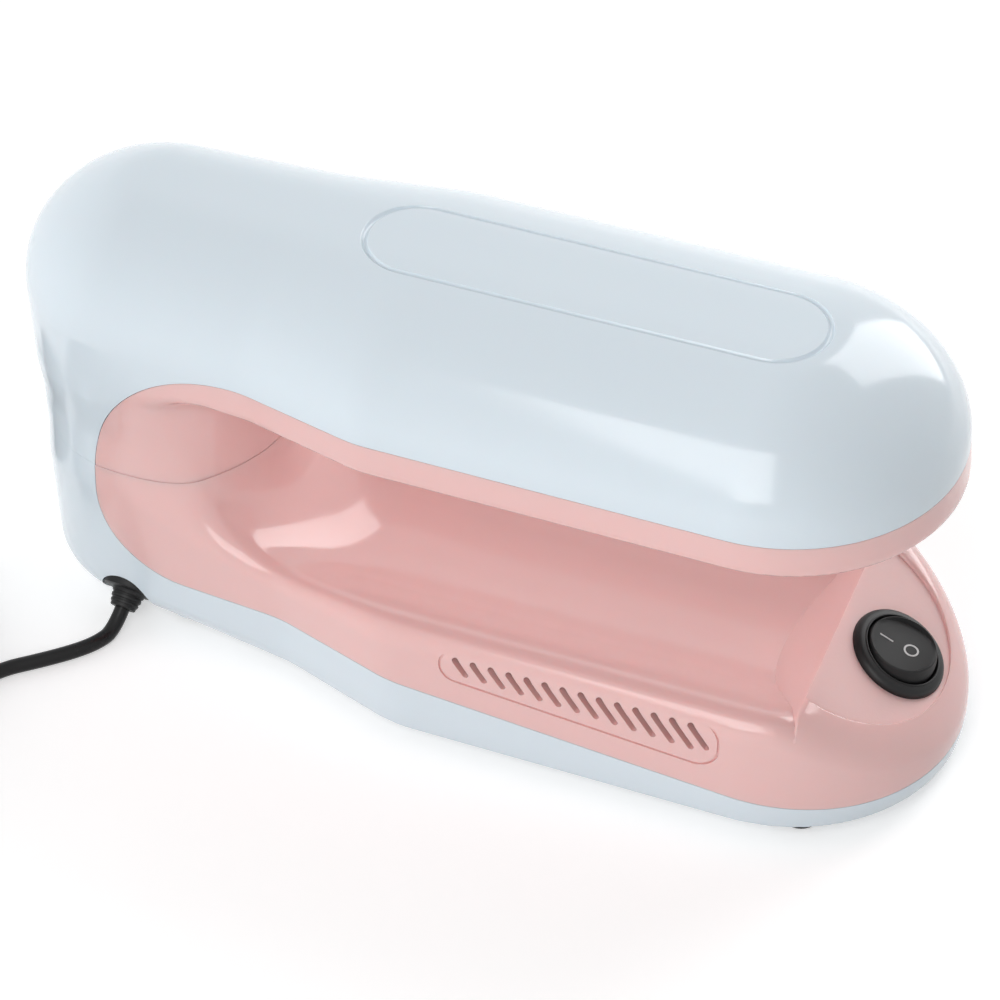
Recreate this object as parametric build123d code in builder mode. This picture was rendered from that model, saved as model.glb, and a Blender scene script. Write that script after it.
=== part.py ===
from build123d import *
import math
import os

# Mini UV nail lamp: a C-shaped desktop lamp. X runs from the rear column to the switch end,
# Y across, Z up. The origin is on the floor, under the middle of the lamp. Millimetres.

# Overall form
base_half_width = 39.6
hood_half_width = 38.0
base_nose_x = 66.2
hood_nose_x = 61.4
column_x = -76.7
base_column_radius = 27.4
hood_column_radius = 29.3
foot_height = 3.0
hood_edge_z = 80.2
dome_rise = 25.3
top_flat_angle = 75.0
tuck_top_z = 12.0
tuck_power = 2.5
side_tuck = 1.2
column_tuck = 4.4

# Waist of the outline, where the wide front narrows to the rear column
base_flare_x = -10.0
hood_flare_x = -17.0
base_neck_x = -38.0
hood_neck_x = -44.0
base_neck_half = 30.4
hood_neck_half = 32.0
waist_radius = 30.0

# Walls, fits and gaps
wall = 2.2
floor_thickness = 2.4
seam_gap = 0.15
slip = 0.1

# Hand opening between base and hood
rim_z = 72.4
deck_z = 33.0
trough_z = 18.0
trough_radius = 34.0
slope_start_x = 75.6
crease_x = 77.9
deck_slope = 27.4
ramp_slope = 47.0
inner_column_x = -78.6
inner_column_radius = 29.6
lower_flare = 24.0
upper_flare = 11.0
seam_z = 45.0
rim_round = 1.6
nose_round = 4.0

# Boundary between the pink and the white mouldings on the side, seen along Y
edge_z = 17.4
edge_break_x = -15.0
edge_fall = 0.081
arch_x = -82.8
arch_low_radius = 20.0
arch_high_radius = 38.0

# Switch, a round rocker in a 20 mm hole of the sloping platform
platform_radius = 26.1
platform_x = 77.3
platform_depth = 1.0
platform_lap = 1.5
switch_x = 89.9
switch_hole = 20.1
barrel_depth = 11.5
bezel_diameter = 23.0
bezel_height = 2.2
rocker_radius = 8.2
rocker_clearance = 0.3
rocker_top = 4.4
rocker_dish = 26.0
rocker_tilt = 11.0
rocker_sink = 2.0
rocker_bottom = 4.6
rocker_lip = 0.4
bezel_inner_diameter = 18.2
bezel_step = 0.4
bezel_round = 0.9
cavity_depth = 11.5
terminal_x = 3.5
terminal_length = 5.0
terminal_width = 4.8
terminal_thickness = 0.8
trunnion_reach = 9.0
trunnion_radius = 1.2
trunnion_clearance = 0.05

# Side vents: slots that lean back at the top, longer towards the front, in a thin groove
vent_count = 14
vent_pitch = 4.0
vent_first_x = 4.7
vent_width = 1.5
vent_slant = 36.0
vent_top_z = 28.6
vent_low_z = 24.2
vent_fall = 0.054
vent_last_lift = 1.1
frame_rear_x = 1.4
frame_front_x = 63.6
frame_top_z = 30.4
frame_low_z = 22.2
frame_rear_corner = 3.9
frame_front_corner = 5.5
frame_groove = 0.5
frame_depth = 0.6

# Screw posts and feet
post_radius = 3.5
post_seat = 0.8
thread_slip = 0.05
thread_end = 1.0
screw_radius = 1.5
screw_hole_radius = 1.7
screw_head_radius = 2.9
screw_head_height = 1.8
screw_head_chamfer = 0.5
screw_slot = 0.8
screw_slot_length = 3.2
board_screw_length = 5.0
front_post = (48.0, 31.0)
rear_post = (-65.5, 20.4)
foot_radius = 4.5
foot_recess = 1.0
foot_chamfer = 0.5
front_foot = (79.0, 29.0)
rear_foot = (-84.0, 11.0)

# Hood underside: lamp window, reflector pan and the screws that hold the white cover
window_rear_x = -34.0
window_front_x = 92.0
window_half_width = 24.0
pan_sheet = 0.5
pan_flange = 1.4
pan_height = 17.6
pan_top_half_width = 13.0
pan_top_front_x = 80.0
pan_top_rear_x = -22.0
pan_notch_half = 15.5
pan_notch_top = 90.0
pan_notch_reach = 16.0
hood_screw_front = (80.0, 26.5)
hood_screw_rear = (-24.0, 29.0)
hood_post_radius = 2.8
hood_screw_length = 10.0
front_screw_length = 18.0
rear_screw_length = 50.0
liner_post_height = 17.0
holder_screw_length = 6.0
groove_half_width = 11.0
groove_front_x = 69.6
groove_rear_x = -28.9
groove_width = 0.9
groove_depth = 0.6

# U-shaped tube with a two-pin cap, and its holder in the column
tube_z = 83.0
tube_radius = 6.15
tube_spacing = 15.5
tube_front_x = 84.0
cap_face_x = -39.0
cap_length = 16.0
cap_width = 28.0
cap_height = 13.0
socket_depth = 2.0
post_length = 22.0
post_width = 9.0
pin_radius = 1.0
pin_length = 6.4
pin_spacing = 23.0
holder_length = 25.0
holder_width = 32.0
holder_height = 16.4
ear_width = 45.0
ear_length = 11.0
ear_thickness = 2.2
ear_x = -67.0
ear_hole_y = 19.0

# Driver board in the foot of the column
board_length = 40.0
board_width = 30.0
board_thickness = 1.6
board_x = -70.0
board_z = 9.0
standoff_radius = 2.6
standoff_x = (-86.5, -53.5)
choke_place = (-66.0, 0.0)
choke_size = (14.0, 13.0, 12.0)
choke_chamfer = 1.0
capacitor_place = (-78.0, 8.0)
capacitor_radius = 4.0
capacitor_height = 13.0
capacitor_round = 0.6
film_place = (-82.0, -7.0)
film_size = (8.0, 5.0, 9.0)
transistor_x = -57.0
transistor_y = 9.5
transistor_radius = 2.4
transistor_height = 4.6
transistor_lift = 2.0
transistor_leg_x = -58.3
transistor_leg = (0.8, 3.4)

# Lead bushing and the round mains lead
gland_direction = 266.0
gland_tilt = 35.0
gland_distance = 23.4
gland_z = 8.5
gland_head_radius = 6.3
gland_head_height = 2.4
gland_pocket_depth = 12.0
gland_neck_length = 4.0
gland_neck_radius = 2.9
gland_neck_swell = 0.9
gland_hole_radius = 4.1
gland_pad = 3.2
gland_collar = 1.4
gland_collar_swell = 0.7
cord_diameter = 3.4

# Wires inside: plan or side places that they pass, in order
lead_radius = 0.8
mains_core_radius = 1.3
mains_core_run = 7.0
mains_core_end = (-70.0, -11.0)
lamp_lead_y = 6.0
lamp_lead_run = [(-88.0, 20.0), (-92.0, 34.0), (-93.0, 52.0), (-92.0, 70.0)]
lamp_lead_end = -88.0
switch_lead_spread = 4.0
switch_lead_run = [(-52.0, 14.0), (-40.0, 13.0), (-30.0, 7.4), (50.0, 7.4)]
switch_lead_rise = 10.0

# Mains lead outside: the free stretch on the floor, then two layers of half turns
cord_run = [(-80.7, -37.6), (-84.1, -41.9), (-89.9, -47.3), (-96.8, -53.0)]
coil_direction = (-0.342, -0.940)
coil_start_place = (-104.0, -70.4)
coil_radius = 28.8
coil_gap = 0.5
coil_run_in = 5.0
lower_turns = 10
upper_turns = 9

# Tie round the coil, and the plug: a flat two-pin Europlug
tie_thickness = 0.6
tie_clearance = 0.3
tie_width = 4.0
tie_corner = 1.2
plug_width = 35.3
plug_thickness = 13.7
plug_length = 36.0
plug_face_length = 12.0
plug_neck_width = 14.0
plug_neck_thickness = 11.0
plug_corner = 0.45
plug_turn = 8.0
plug_run = 5.0
plug_pin_radius = 2.0
plug_pin_length = 19.0
plug_pin_spacing = 18.6

reach = 130.0


def outline(u, rear_radius, inset=0.0, scale=1.0):
    """Plan outline: round rear column, waist, straight sides and a half-round nose.
    u runs from 0 at the base to 1 at the hood."""
    half = (base_half_width + (hood_half_width - base_half_width) * u - inset) * scale
    neck_half = (base_neck_half + (hood_neck_half - base_neck_half) * u - inset) * scale
    nose_x = base_nose_x + (hood_nose_x - base_nose_x) * u
    radius = (rear_radius - inset) * scale
    neck = Vector(base_neck_x + (hood_neck_x - base_neck_x) * u, neck_half)
    flare = Vector(base_flare_x + (hood_flare_x - base_flare_x) * u, half)
    nose = Vector(nose_x, half)
    run = neck - Vector(column_x, 0)
    turn = math.atan2(run.Y, run.X) + math.acos(radius / run.length)
    tangent = Vector(column_x + radius * math.cos(turn), radius * math.sin(turn))
    bends = [(waist_radius + inset) * scale, (waist_radius - inset) * scale]
    with BuildLine() as line:
        FilletPolyline(tangent, neck, flare, nose, radius=bends)
        mirror(about=Plane.XZ)
        ThreePointArc(nose, (nose_x + half, 0), (nose_x, -half))
        ThreePointArc(tangent, (column_x - radius, 0), (tangent.X, -tangent.Y))
    make_face(line.edges())


def tuck(z):
    """How far the lower edge has curved in at height z, from 0 at its top to 1 at the floor plate."""
    return max(0.0, (tuck_top_z - z) / (tuck_top_z - foot_height)) ** tuck_power


def section(z, inset, scale=1.0):
    """The plan outline at one height, as a sketch on its own level."""
    u = (min(z, hood_edge_z) - foot_height) / (hood_edge_z - foot_height)
    radius = base_column_radius + (hood_column_radius - base_column_radius) * u
    with BuildSketch(Plane.XY.offset(z)) as level:
        outline(u, radius - column_tuck * tuck(z), inset + side_tuck * tuck(z), scale)
    return level.sketch


def body(inset, lowest):
    """The lamp's outer form as one solid, or the space inside it when inset is the wall."""
    rise = dome_rise - inset
    low_levels = [lowest + (tuck_top_z - lowest) * step / 3 for step in range(4)]
    dome_angles = [math.radians(angle) for angle in (0, 25, 45, 60, top_flat_angle)]
    with BuildPart() as whole:
        loft([section(z, inset) for z in low_levels])
        loft([section(tuck_top_z, inset), section(hood_edge_z, inset)])
        loft([section(hood_edge_z + rise * math.sin(a), inset, math.cos(a)) for a in dome_angles])
    return whole.part


def hand_opening(grow):
    """Space for the hand, a slab over the deck and the trough, kept clear of the inner column."""
    low = deck_z - grow
    high = rim_z + grow
    fall = math.tan(math.radians(deck_slope))
    climb = math.tan(math.radians(ramp_slope))
    ramp_shift = grow / math.sin(math.radians(ramp_slope))
    crease_z = deck_z - (crease_x - slope_start_x) * fall
    with BuildPart() as column:
        waist = inner_column_radius - grow
        foot = Vector(waist + lower_flare + grow, trough_z - 2 * grow)
        waist_low = Vector(waist, foot.Y + lower_flare + grow)
        waist_high = Vector(waist, high - upper_flare - grow)
        top = Vector(waist + upper_flare + grow, high)
        with BuildSketch(Plane.XZ):
            with BuildLine():
                Polyline(foot, (0, foot.Y), (0, high), top)
                RadiusArc(foot, waist_low, lower_flare + grow)
                Line(waist_low, waist_high)
                RadiusArc(waist_high, top, upper_flare + grow)
            make_face()
        revolve(axis=Axis.Z)
    with BuildPart() as trough:
        with BuildSketch(Plane.YZ.offset(inner_column_x)):
            with Locations((0, trough_z + trough_radius)):
                Circle(trough_radius + grow)
            with Locations((0, low)):
                Rectangle(reach, reach, align=(Align.CENTER, Align.MIN), mode=Mode.SUBTRACT)
        extrude(amount=2 * reach)
        with BuildSketch(Plane.XZ):
            ramp_top = crease_x + (deck_z - crease_z) / climb + ramp_shift
            Polygon((inner_column_x, 0), (ramp_top - deck_z / climb, 0), (ramp_top, deck_z),
                    (inner_column_x, deck_z), align=None)
        extrude(amount=reach, both=True, mode=Mode.INTERSECT)
    with BuildPart() as opening:
        with BuildSketch(Plane.XZ):
            Polygon((inner_column_x, high), (reach, high),
                    (reach, low - (reach - slope_start_x) * fall),
                    (slope_start_x, low), (inner_column_x, low), align=None)
        extrude(amount=reach, both=True)
        add(trough.part)
        add(column.part.moved(Location((inner_column_x, 0, 0))), mode=Mode.SUBTRACT)
    return opening.part


def pink_side(gap):
    """Everything that lies in front of the arch, above the base edge and below the hood edge."""
    low = edge_z - gap
    high = hood_edge_z + gap
    back = arch_x - gap
    with BuildPart() as region:
        with BuildSketch(Plane.XZ):
            with BuildLine():
                low_turn = (back + arch_low_radius, low)
                low_top = (back, low + arch_low_radius)
                high_turn = (back, high - arch_high_radius)
                high_end = (back + arch_high_radius, high)
                Polyline((edge_break_x, low), low_turn)
                RadiusArc(low_turn, low_top, arch_low_radius)
                Line(low_top, high_turn)
                RadiusArc(high_turn, high_end, arch_high_radius)
                Polyline(high_end, (reach, high),
                         (reach, low - (reach - edge_break_x) * edge_fall), (edge_break_x, low))
            make_face()
        extrude(amount=reach, both=True)
    return region.part


outer = body(0.0, foot_height)
inside = body(wall, foot_height + floor_thickness)
opening = hand_opening(0.0)
pink = pink_side(0.0)
white_limit = pink_side(seam_gap)
floor_top = foot_height + floor_thickness
thread_bore = screw_radius + thread_slip
post_split = edge_z - wall
screw_seat = floor_top + screw_head_height
plate_top = rim_z + wall
holder_top = tube_z + holder_height / 2
dome_top = hood_edge_z + dome_rise * math.sin(math.radians(top_flat_angle))
platform_z = (deck_z - (switch_x - slope_start_x) * math.tan(math.radians(deck_slope))
              - platform_depth / math.cos(math.radians(deck_slope)))
tilt = math.radians(deck_slope)
switch_plane = Plane(origin=(switch_x, 0, platform_z), x_dir=(math.cos(tilt), 0, -math.sin(tilt)),
                     z_dir=(math.sin(tilt), 0, math.cos(tilt)))
gland_angle = math.radians(gland_direction)
gland_down = math.radians(gland_tilt)
gland_out = Vector(math.cos(gland_angle) * math.cos(gland_down),
                   math.sin(gland_angle) * math.cos(gland_down), -math.sin(gland_down))
gland_seat = Vector(column_x + gland_distance * math.cos(gland_angle),
                    gland_distance * math.sin(gland_angle), gland_z)
gland_plane = Plane(origin=gland_seat, x_dir=(-math.sin(gland_angle), math.cos(gland_angle), 0),
                    z_dir=gland_out)


def bend_radii(points):
    """Bend radius at each inner point, so that the curve leaves a straight bit of every run."""
    radii = []
    for before, here, after in zip(points, points[1:], points[2:]):
        arriving = Vector(*here) - Vector(*before)
        leaving = Vector(*after) - Vector(*here)
        turn = math.radians(arriving.get_angle(leaving))
        radii.append(0.45 * min(arriving.length, leaving.length) / math.tan(turn / 2))
    return radii


def tube(points, radius):
    """A round wire or lead of straight runs and tangent bends."""
    with BuildLine() as path:
        FilletPolyline(*points, radius=bend_radii(points))
    with BuildSketch(Plane(origin=path.line @ 0, z_dir=path.line % 0)) as round_section:
        Circle(radius)
    return sweep(round_section.sketch, path.wire())


def screw(seat_x, seat_y, seat_z, length):
    """A pan head screw pointing up, its head's underside at the seat."""
    with BuildPart() as one:
        with Locations((seat_x, seat_y, seat_z)):
            Cylinder(screw_head_radius, screw_head_height, align=(Align.CENTER, Align.CENTER, Align.MAX))
            Cylinder(screw_radius, length, align=(Align.CENTER, Align.CENTER, Align.MIN))
        chamfer(one.edges().group_by(Axis.Z)[0], screw_head_chamfer)
        with Locations((seat_x, seat_y, seat_z - screw_head_height)):
            Box(screw_slot, screw_slot_length, screw_head_height, mode=Mode.SUBTRACT)
            Box(screw_slot_length, screw_slot, screw_head_height, mode=Mode.SUBTRACT)
    return one.part


def window_slot(half_width, rear_x, front_x, z):
    """A slot with round ends, drawn from its two ends, at one height."""
    with BuildSketch(Plane.XY.offset(z)) as level:
        with Locations(((rear_x + front_x) / 2, 0)):
            SlotOverall(front_x - rear_x, 2 * half_width)
    return level.sketch


def both_sides(place):
    """A point and its mirror image across the middle of the lamp."""
    return [(place[0], place[1]), (place[0], -place[1])]


def level_edges(z):
    """The outer edges of the form at one height, without the edge round the column's face."""
    return [edge for edge in form.edges()
            if edge.bounding_box().size.Z < 0.01 and abs(edge.center().Z - z) < 0.01
            and (abs((edge @ 0.5).Y) > inner_column_radius - 1 or (edge @ 0.5).X > window_front_x)]


with BuildPart() as form:
    add(outer)
    add(opening, mode=Mode.SUBTRACT)
    fillet(level_edges(rim_z), rim_round)
    slope_edges = [edge for edge in form.edges()
                   if (edge @ 0.5).X > switch_x and tuck_top_z + seam_gap < (edge @ 0.5).Z < deck_z]
    fillet(slope_edges, nose_round)
with BuildPart() as cavity:
    add(inside)
    add(hand_opening(wall), mode=Mode.SUBTRACT)

# Base shell: the white tray and the lower rear of the column
with BuildPart() as base_posts:
    with BuildSketch(Plane.XY.offset(foot_height + 1)):
        with Locations(*both_sides(front_post), *both_sides(rear_post)):
            Circle(post_radius + post_seat)
    extrude(amount=post_split - foot_height - 1)
    with BuildSketch(Plane.XY.offset(foot_height + 1)):
        with Locations(*[(x, 0) for x in standoff_x]):
            Circle(standoff_radius)
    extrude(amount=board_z - foot_height - 1)
with BuildPart() as gland_support:
    with BuildSketch(gland_plane):
        Circle(gland_head_radius + 2)
    extrude(amount=-gland_pad)
    add(outer, mode=Mode.INTERSECT)
with BuildPart() as base_shell:
    add(outer)
    add(inside, mode=Mode.SUBTRACT)
    add(white_limit, mode=Mode.SUBTRACT)
    split(bisect_by=Plane.XY.offset(seam_z - seam_gap / 2), keep=Keep.BOTTOM)
    add(base_posts.part)
    add(gland_support.part)
    with BuildSketch(gland_plane):
        Circle(gland_head_radius + slip)
    extrude(amount=gland_pocket_depth, mode=Mode.SUBTRACT)
    with BuildSketch(gland_plane):
        Circle(gland_hole_radius + slip)
    extrude(amount=-gland_pocket_depth, mode=Mode.SUBTRACT)
    with BuildSketch(Plane.XY.offset(foot_height)):
        with Locations(*both_sides(front_foot), *both_sides(rear_foot)):
            Circle(foot_radius + slip)
    extrude(amount=foot_recess, mode=Mode.SUBTRACT)
    with BuildSketch(Plane.XY.offset(foot_height)):
        with Locations(*both_sides(front_post), *both_sides(rear_post)):
            Circle(screw_head_radius + 3 * slip)
    extrude(amount=screw_seat - foot_height, mode=Mode.SUBTRACT)
    with BuildSketch(Plane.XY.offset(foot_height)):
        with Locations(*both_sides(front_post), *both_sides(rear_post)):
            Circle(screw_hole_radius)
    extrude(amount=edge_z, mode=Mode.SUBTRACT)
    with BuildSketch(Plane.XY.offset(floor_top)):
        with Locations(*[(x, 0) for x in standoff_x]):
            Circle(thread_bore)
    extrude(amount=board_z - floor_top, mode=Mode.SUBTRACT)

# Base cover: the pink deck, trough, vented sides, switch platform and lower column face
with BuildPart() as cover_posts:
    with BuildSketch(Plane.XY.offset(post_split + slip)):
        with Locations(*both_sides(front_post), *both_sides(rear_post)):
            Circle(post_radius)
    extrude(amount=seam_z - seam_gap / 2 - post_split - slip)
    add(outer, mode=Mode.INTERSECT)
    add(opening, mode=Mode.SUBTRACT)
crease = (crease_x - switch_x) / math.cos(tilt)
half_moon_x = (platform_x - switch_x) / math.cos(tilt)
with BuildSketch(switch_plane) as half_moon:
    with Locations((half_moon_x, 0)):
        Circle(platform_radius)
    with Locations((crease - platform_lap, 0)):
        Rectangle(reach, reach, align=(Align.MIN, Align.CENTER), mode=Mode.INTERSECT)
with BuildPart() as platform_pad:
    extrude(to_extrude=half_moon.sketch, amount=-wall)
    add(outer, mode=Mode.INTERSECT)
with BuildPart() as vents:
    with BuildSketch(Plane.XZ):
        for index in range(vent_count):
            x = vent_first_x + index * vent_pitch
            low_z = vent_low_z - vent_fall * index * vent_pitch
            if index == vent_count - 1:
                low_z += vent_last_lift
            height = vent_top_z - low_z
            middle = (x + height / 2 * math.tan(math.radians(vent_slant)), low_z + height / 2)
            with Locations(middle):
                SlotOverall(height / math.cos(math.radians(vent_slant)), vent_width,
                            rotation=90 + vent_slant)
    extrude(amount=reach, both=True)
    with Locations((0, 0, vent_top_z)):
        Box(2 * reach, 2 * (base_half_width - wall - 1.5), reach, mode=Mode.SUBTRACT)
with BuildPart() as vent_frame:
    with BuildSketch(Plane.XZ):
        with BuildLine():
            Polyline((frame_rear_x, frame_low_z), (frame_rear_x, frame_top_z), (frame_front_x, frame_top_z),
                     (frame_front_x, frame_low_z - edge_fall * (frame_front_x - frame_rear_x)), close=True)
        make_face()
        fillet(vertices().group_by(Axis.X)[0], frame_rear_corner)
        fillet(vertices().group_by(Axis.X)[-1], frame_front_corner)
        offset(amount=-frame_groove, mode=Mode.SUBTRACT)
    extrude(amount=reach, both=True)
    with Locations((0, 0, vent_top_z)):
        Box(2 * reach, 2 * (base_half_width - frame_depth), reach, mode=Mode.SUBTRACT)
with BuildPart() as base_cover:
    add(form.part)
    add(pink, mode=Mode.INTERSECT)
    add(cavity.part, mode=Mode.SUBTRACT)
    split(bisect_by=Plane.XY.offset(seam_z - seam_gap / 2), keep=Keep.BOTTOM)
    add(cover_posts.part)
    add(platform_pad.part)
    extrude(to_extrude=half_moon.sketch, amount=reach / 4, mode=Mode.SUBTRACT)
    add(vents.part, mode=Mode.SUBTRACT)
    add(vent_frame.part, mode=Mode.SUBTRACT)
    with BuildSketch(switch_plane):
        Circle(switch_hole / 2)
    extrude(amount=reach / 8, both=True, mode=Mode.SUBTRACT)
    with BuildSketch(Plane.XY.offset(post_split)):
        with Locations(*both_sides(front_post)):
            Circle(thread_bore)
    extrude(amount=front_screw_length - post_split + screw_seat + thread_end, mode=Mode.SUBTRACT)
    with BuildSketch(Plane.XY.offset(post_split)):
        with Locations(*both_sides(rear_post)):
            Circle(screw_hole_radius)
    extrude(amount=seam_z, mode=Mode.SUBTRACT)

# Hood liner: the pink rim and underside plate, and the upper face of the column
with BuildPart() as liner_posts:
    with BuildSketch(Plane.XY.offset(seam_z + seam_gap / 2)):
        with Locations(*both_sides(rear_post)):
            Circle(post_radius)
    extrude(amount=liner_post_height)
    add(outer, mode=Mode.INTERSECT)
with BuildPart() as hood_liner:
    add(form.part)
    add(pink, mode=Mode.INTERSECT)
    add(cavity.part, mode=Mode.SUBTRACT)
    split(bisect_by=Plane.XY.offset(seam_z + seam_gap / 2), keep=Keep.TOP)
    add(liner_posts.part)
    with BuildSketch(Plane.XY.offset(seam_z)):
        with Locations(*both_sides(rear_post)):
            Circle(thread_bore)
    extrude(amount=rear_screw_length + screw_seat - seam_z + thread_end, mode=Mode.SUBTRACT)
    window_length = window_front_x - window_rear_x
    window_middle = (window_front_x + window_rear_x) / 2
    with BuildSketch(Plane.XY.offset(rim_z - 1)):
        with Locations((window_middle, 0)):
            SlotOverall(window_length, 2 * window_half_width)
    extrude(amount=wall + 2, mode=Mode.SUBTRACT)
    with BuildSketch(Plane.XY.offset(rim_z - 1)):
        with Locations(*both_sides(hood_screw_front), *both_sides(hood_screw_rear)):
            Circle(screw_hole_radius)
    extrude(amount=wall + 2, mode=Mode.SUBTRACT)

# Top cover: the white dome and the upper rear of the column
with BuildPart() as top_bosses:
    with BuildSketch(Plane.XY.offset(plate_top + slip)):
        with Locations(*both_sides(hood_screw_front), *both_sides(hood_screw_rear)):
            Circle(hood_post_radius)
    extrude(amount=dome_rise)
    with BuildSketch(Plane.XY.offset(holder_top + slip)):
        with Locations(*both_sides((ear_x, ear_hole_y))):
            Circle(hood_post_radius)
    extrude(amount=dome_rise / 2)
    add(outer, mode=Mode.INTERSECT)
with BuildPart() as top_cover:
    add(outer)
    add(inside, mode=Mode.SUBTRACT)
    add(white_limit, mode=Mode.SUBTRACT)
    split(bisect_by=Plane.XY.offset(seam_z + seam_gap / 2), keep=Keep.TOP)
    add(top_bosses.part)
    with BuildSketch(Plane.XY.offset(plate_top)):
        with Locations(*both_sides(hood_screw_front), *both_sides(hood_screw_rear)):
            Circle(thread_bore)
    extrude(amount=hood_screw_length, mode=Mode.SUBTRACT)
    with BuildSketch(Plane.XY.offset(holder_top)):
        with Locations(*both_sides((ear_x, ear_hole_y))):
            Circle(thread_bore)
    extrude(amount=holder_screw_length - ear_thickness, mode=Mode.SUBTRACT)
    groove_length = groove_front_x - groove_rear_x
    with BuildSketch(Plane.XY.offset(dome_top - groove_depth)):
        with Locations(((groove_front_x + groove_rear_x) / 2, 0)):
            SlotOverall(groove_length + groove_width, 2 * groove_half_width + groove_width)
            SlotOverall(groove_length - groove_width, 2 * groove_half_width - groove_width,
                        mode=Mode.SUBTRACT)
    extrude(amount=wall, mode=Mode.SUBTRACT)

# Reflector pan over the lamp window
pan_z = plate_top + slip
pan_top = pan_z + pan_height
with BuildPart() as reflector_pan:
    loft([window_slot(window_half_width + pan_sheet, window_rear_x - pan_sheet,
                      window_front_x + pan_sheet, pan_z),
          window_slot(pan_top_half_width + pan_sheet, pan_top_rear_x - pan_sheet,
                      pan_top_front_x + pan_sheet, pan_top + pan_sheet)])
    extrude(to_extrude=window_slot(window_half_width + pan_flange, window_rear_x - pan_flange,
                                   window_front_x + pan_flange, pan_z), amount=pan_sheet)
    loft([window_slot(window_half_width, window_rear_x, window_front_x, pan_z),
          window_slot(pan_top_half_width, pan_top_rear_x, pan_top_front_x, pan_top)], mode=Mode.SUBTRACT)
    with Locations((window_rear_x, 0, tube_z)):
        Box(2 * pan_notch_reach, 2 * pan_notch_half, 2 * (pan_notch_top - tube_z), mode=Mode.SUBTRACT)

# Lamp: U-shaped tube, its cap with two pins, and the holder it plugs into
with BuildPart() as uv_tube:
    leg_end = tube_front_x - tube_radius - tube_spacing / 2
    with BuildLine(Plane.XY.offset(tube_z)) as tube_path:
        Line((cap_face_x - socket_depth, -tube_spacing / 2), (leg_end, -tube_spacing / 2))
        ThreePointArc((leg_end, -tube_spacing / 2), (leg_end + tube_spacing / 2, 0),
                      (leg_end, tube_spacing / 2))
        Line((leg_end, tube_spacing / 2), (cap_face_x - socket_depth, tube_spacing / 2))
    with BuildSketch(Plane(origin=tube_path.line @ 0, z_dir=tube_path.line % 0)):
        Circle(tube_radius)
    sweep(path=tube_path.wire())
with BuildPart() as tube_cap:
    with Locations((cap_face_x, 0, tube_z)):
        Box(cap_length, cap_width, cap_height, align=(Align.MAX, Align.CENTER, Align.CENTER))
    fillet(tube_cap.edges().filter_by(Axis.X), cap_height * 0.4)
    with Locations((cap_face_x - cap_length, 0, tube_z)):
        Box(post_length, post_width, cap_height - 1, align=(Align.MAX, Align.CENTER, Align.CENTER))
    with BuildSketch(Plane.YZ.offset(cap_face_x)):
        with Locations((-tube_spacing / 2, tube_z), (tube_spacing / 2, tube_z)):
            Circle(tube_radius + slip)
    extrude(amount=-socket_depth - slip, mode=Mode.SUBTRACT)
with BuildPart() as tube_pins:
    with BuildSketch(Plane.YZ.offset(cap_face_x - cap_length)):
        with Locations((-pin_spacing / 2, tube_z), (pin_spacing / 2, tube_z)):
            Circle(pin_radius)
    extrude(amount=-pin_length)
    chamfer(tube_pins.edges().group_by(Axis.X)[0], pin_radius * 0.4)
with BuildPart() as lamp_holder:
    holder_face_x = cap_face_x - cap_length - slip
    with Locations((holder_face_x, 0, tube_z)):
        Box(holder_length - slip, holder_width, holder_height, align=(Align.MAX, Align.CENTER, Align.CENTER))
    fillet(lamp_holder.edges().filter_by(Axis.X).group_by(Axis.Z)[0], 2.5)
    with Locations((ear_x, 0, holder_top)):
        Box(ear_length, ear_width, ear_thickness, align=(Align.CENTER, Align.CENTER, Align.MAX))
    with Locations((holder_face_x, 0, tube_z)):
        Box(post_length + 0.5, post_width + 0.6, cap_height - 0.4,
            align=(Align.MAX, Align.CENTER, Align.CENTER), mode=Mode.SUBTRACT)
    with BuildSketch(Plane.YZ.offset(holder_face_x)):
        with Locations((-pin_spacing / 2, tube_z), (pin_spacing / 2, tube_z)):
            Circle(pin_radius + 0.2)
    extrude(amount=-pin_length - 1, mode=Mode.SUBTRACT)
    with BuildSketch(Plane.XY.offset(holder_top - ear_thickness)):
        with Locations(*both_sides((ear_x, ear_hole_y))):
            Circle(screw_hole_radius)
    extrude(amount=ear_thickness, mode=Mode.SUBTRACT)

# Switch: round housing pressed into the platform, tilting rocker, terminals
pivot = bezel_height - rocker_sink
cavity_radius = rocker_radius + rocker_clearance
with BuildPart() as switch_housing:
    with BuildSketch(switch_plane):
        Circle(bezel_diameter / 2)
    extrude(amount=bezel_height)
    switch_axis = Axis(switch_plane.origin, switch_plane.z_dir)
    fillet(switch_housing.faces().sort_by(switch_axis)[-1].edges(), bezel_round)
    with BuildSketch(switch_plane):
        Circle(switch_hole / 2 - slip)
    extrude(amount=-barrel_depth)
    with BuildSketch(switch_plane.offset(bezel_height)):
        Circle(cavity_radius)
    extrude(amount=-cavity_depth, mode=Mode.SUBTRACT)
    with BuildSketch(switch_plane.offset(bezel_height)):
        Circle(bezel_inner_diameter / 2)
    extrude(amount=-bezel_step, mode=Mode.SUBTRACT)
    with Locations(switch_plane.offset(pivot) * Location((0, 0, 0), (90, 0, 0))):
        Cylinder(trunnion_radius + trunnion_clearance, 2 * (trunnion_reach + slip), mode=Mode.SUBTRACT)
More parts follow.
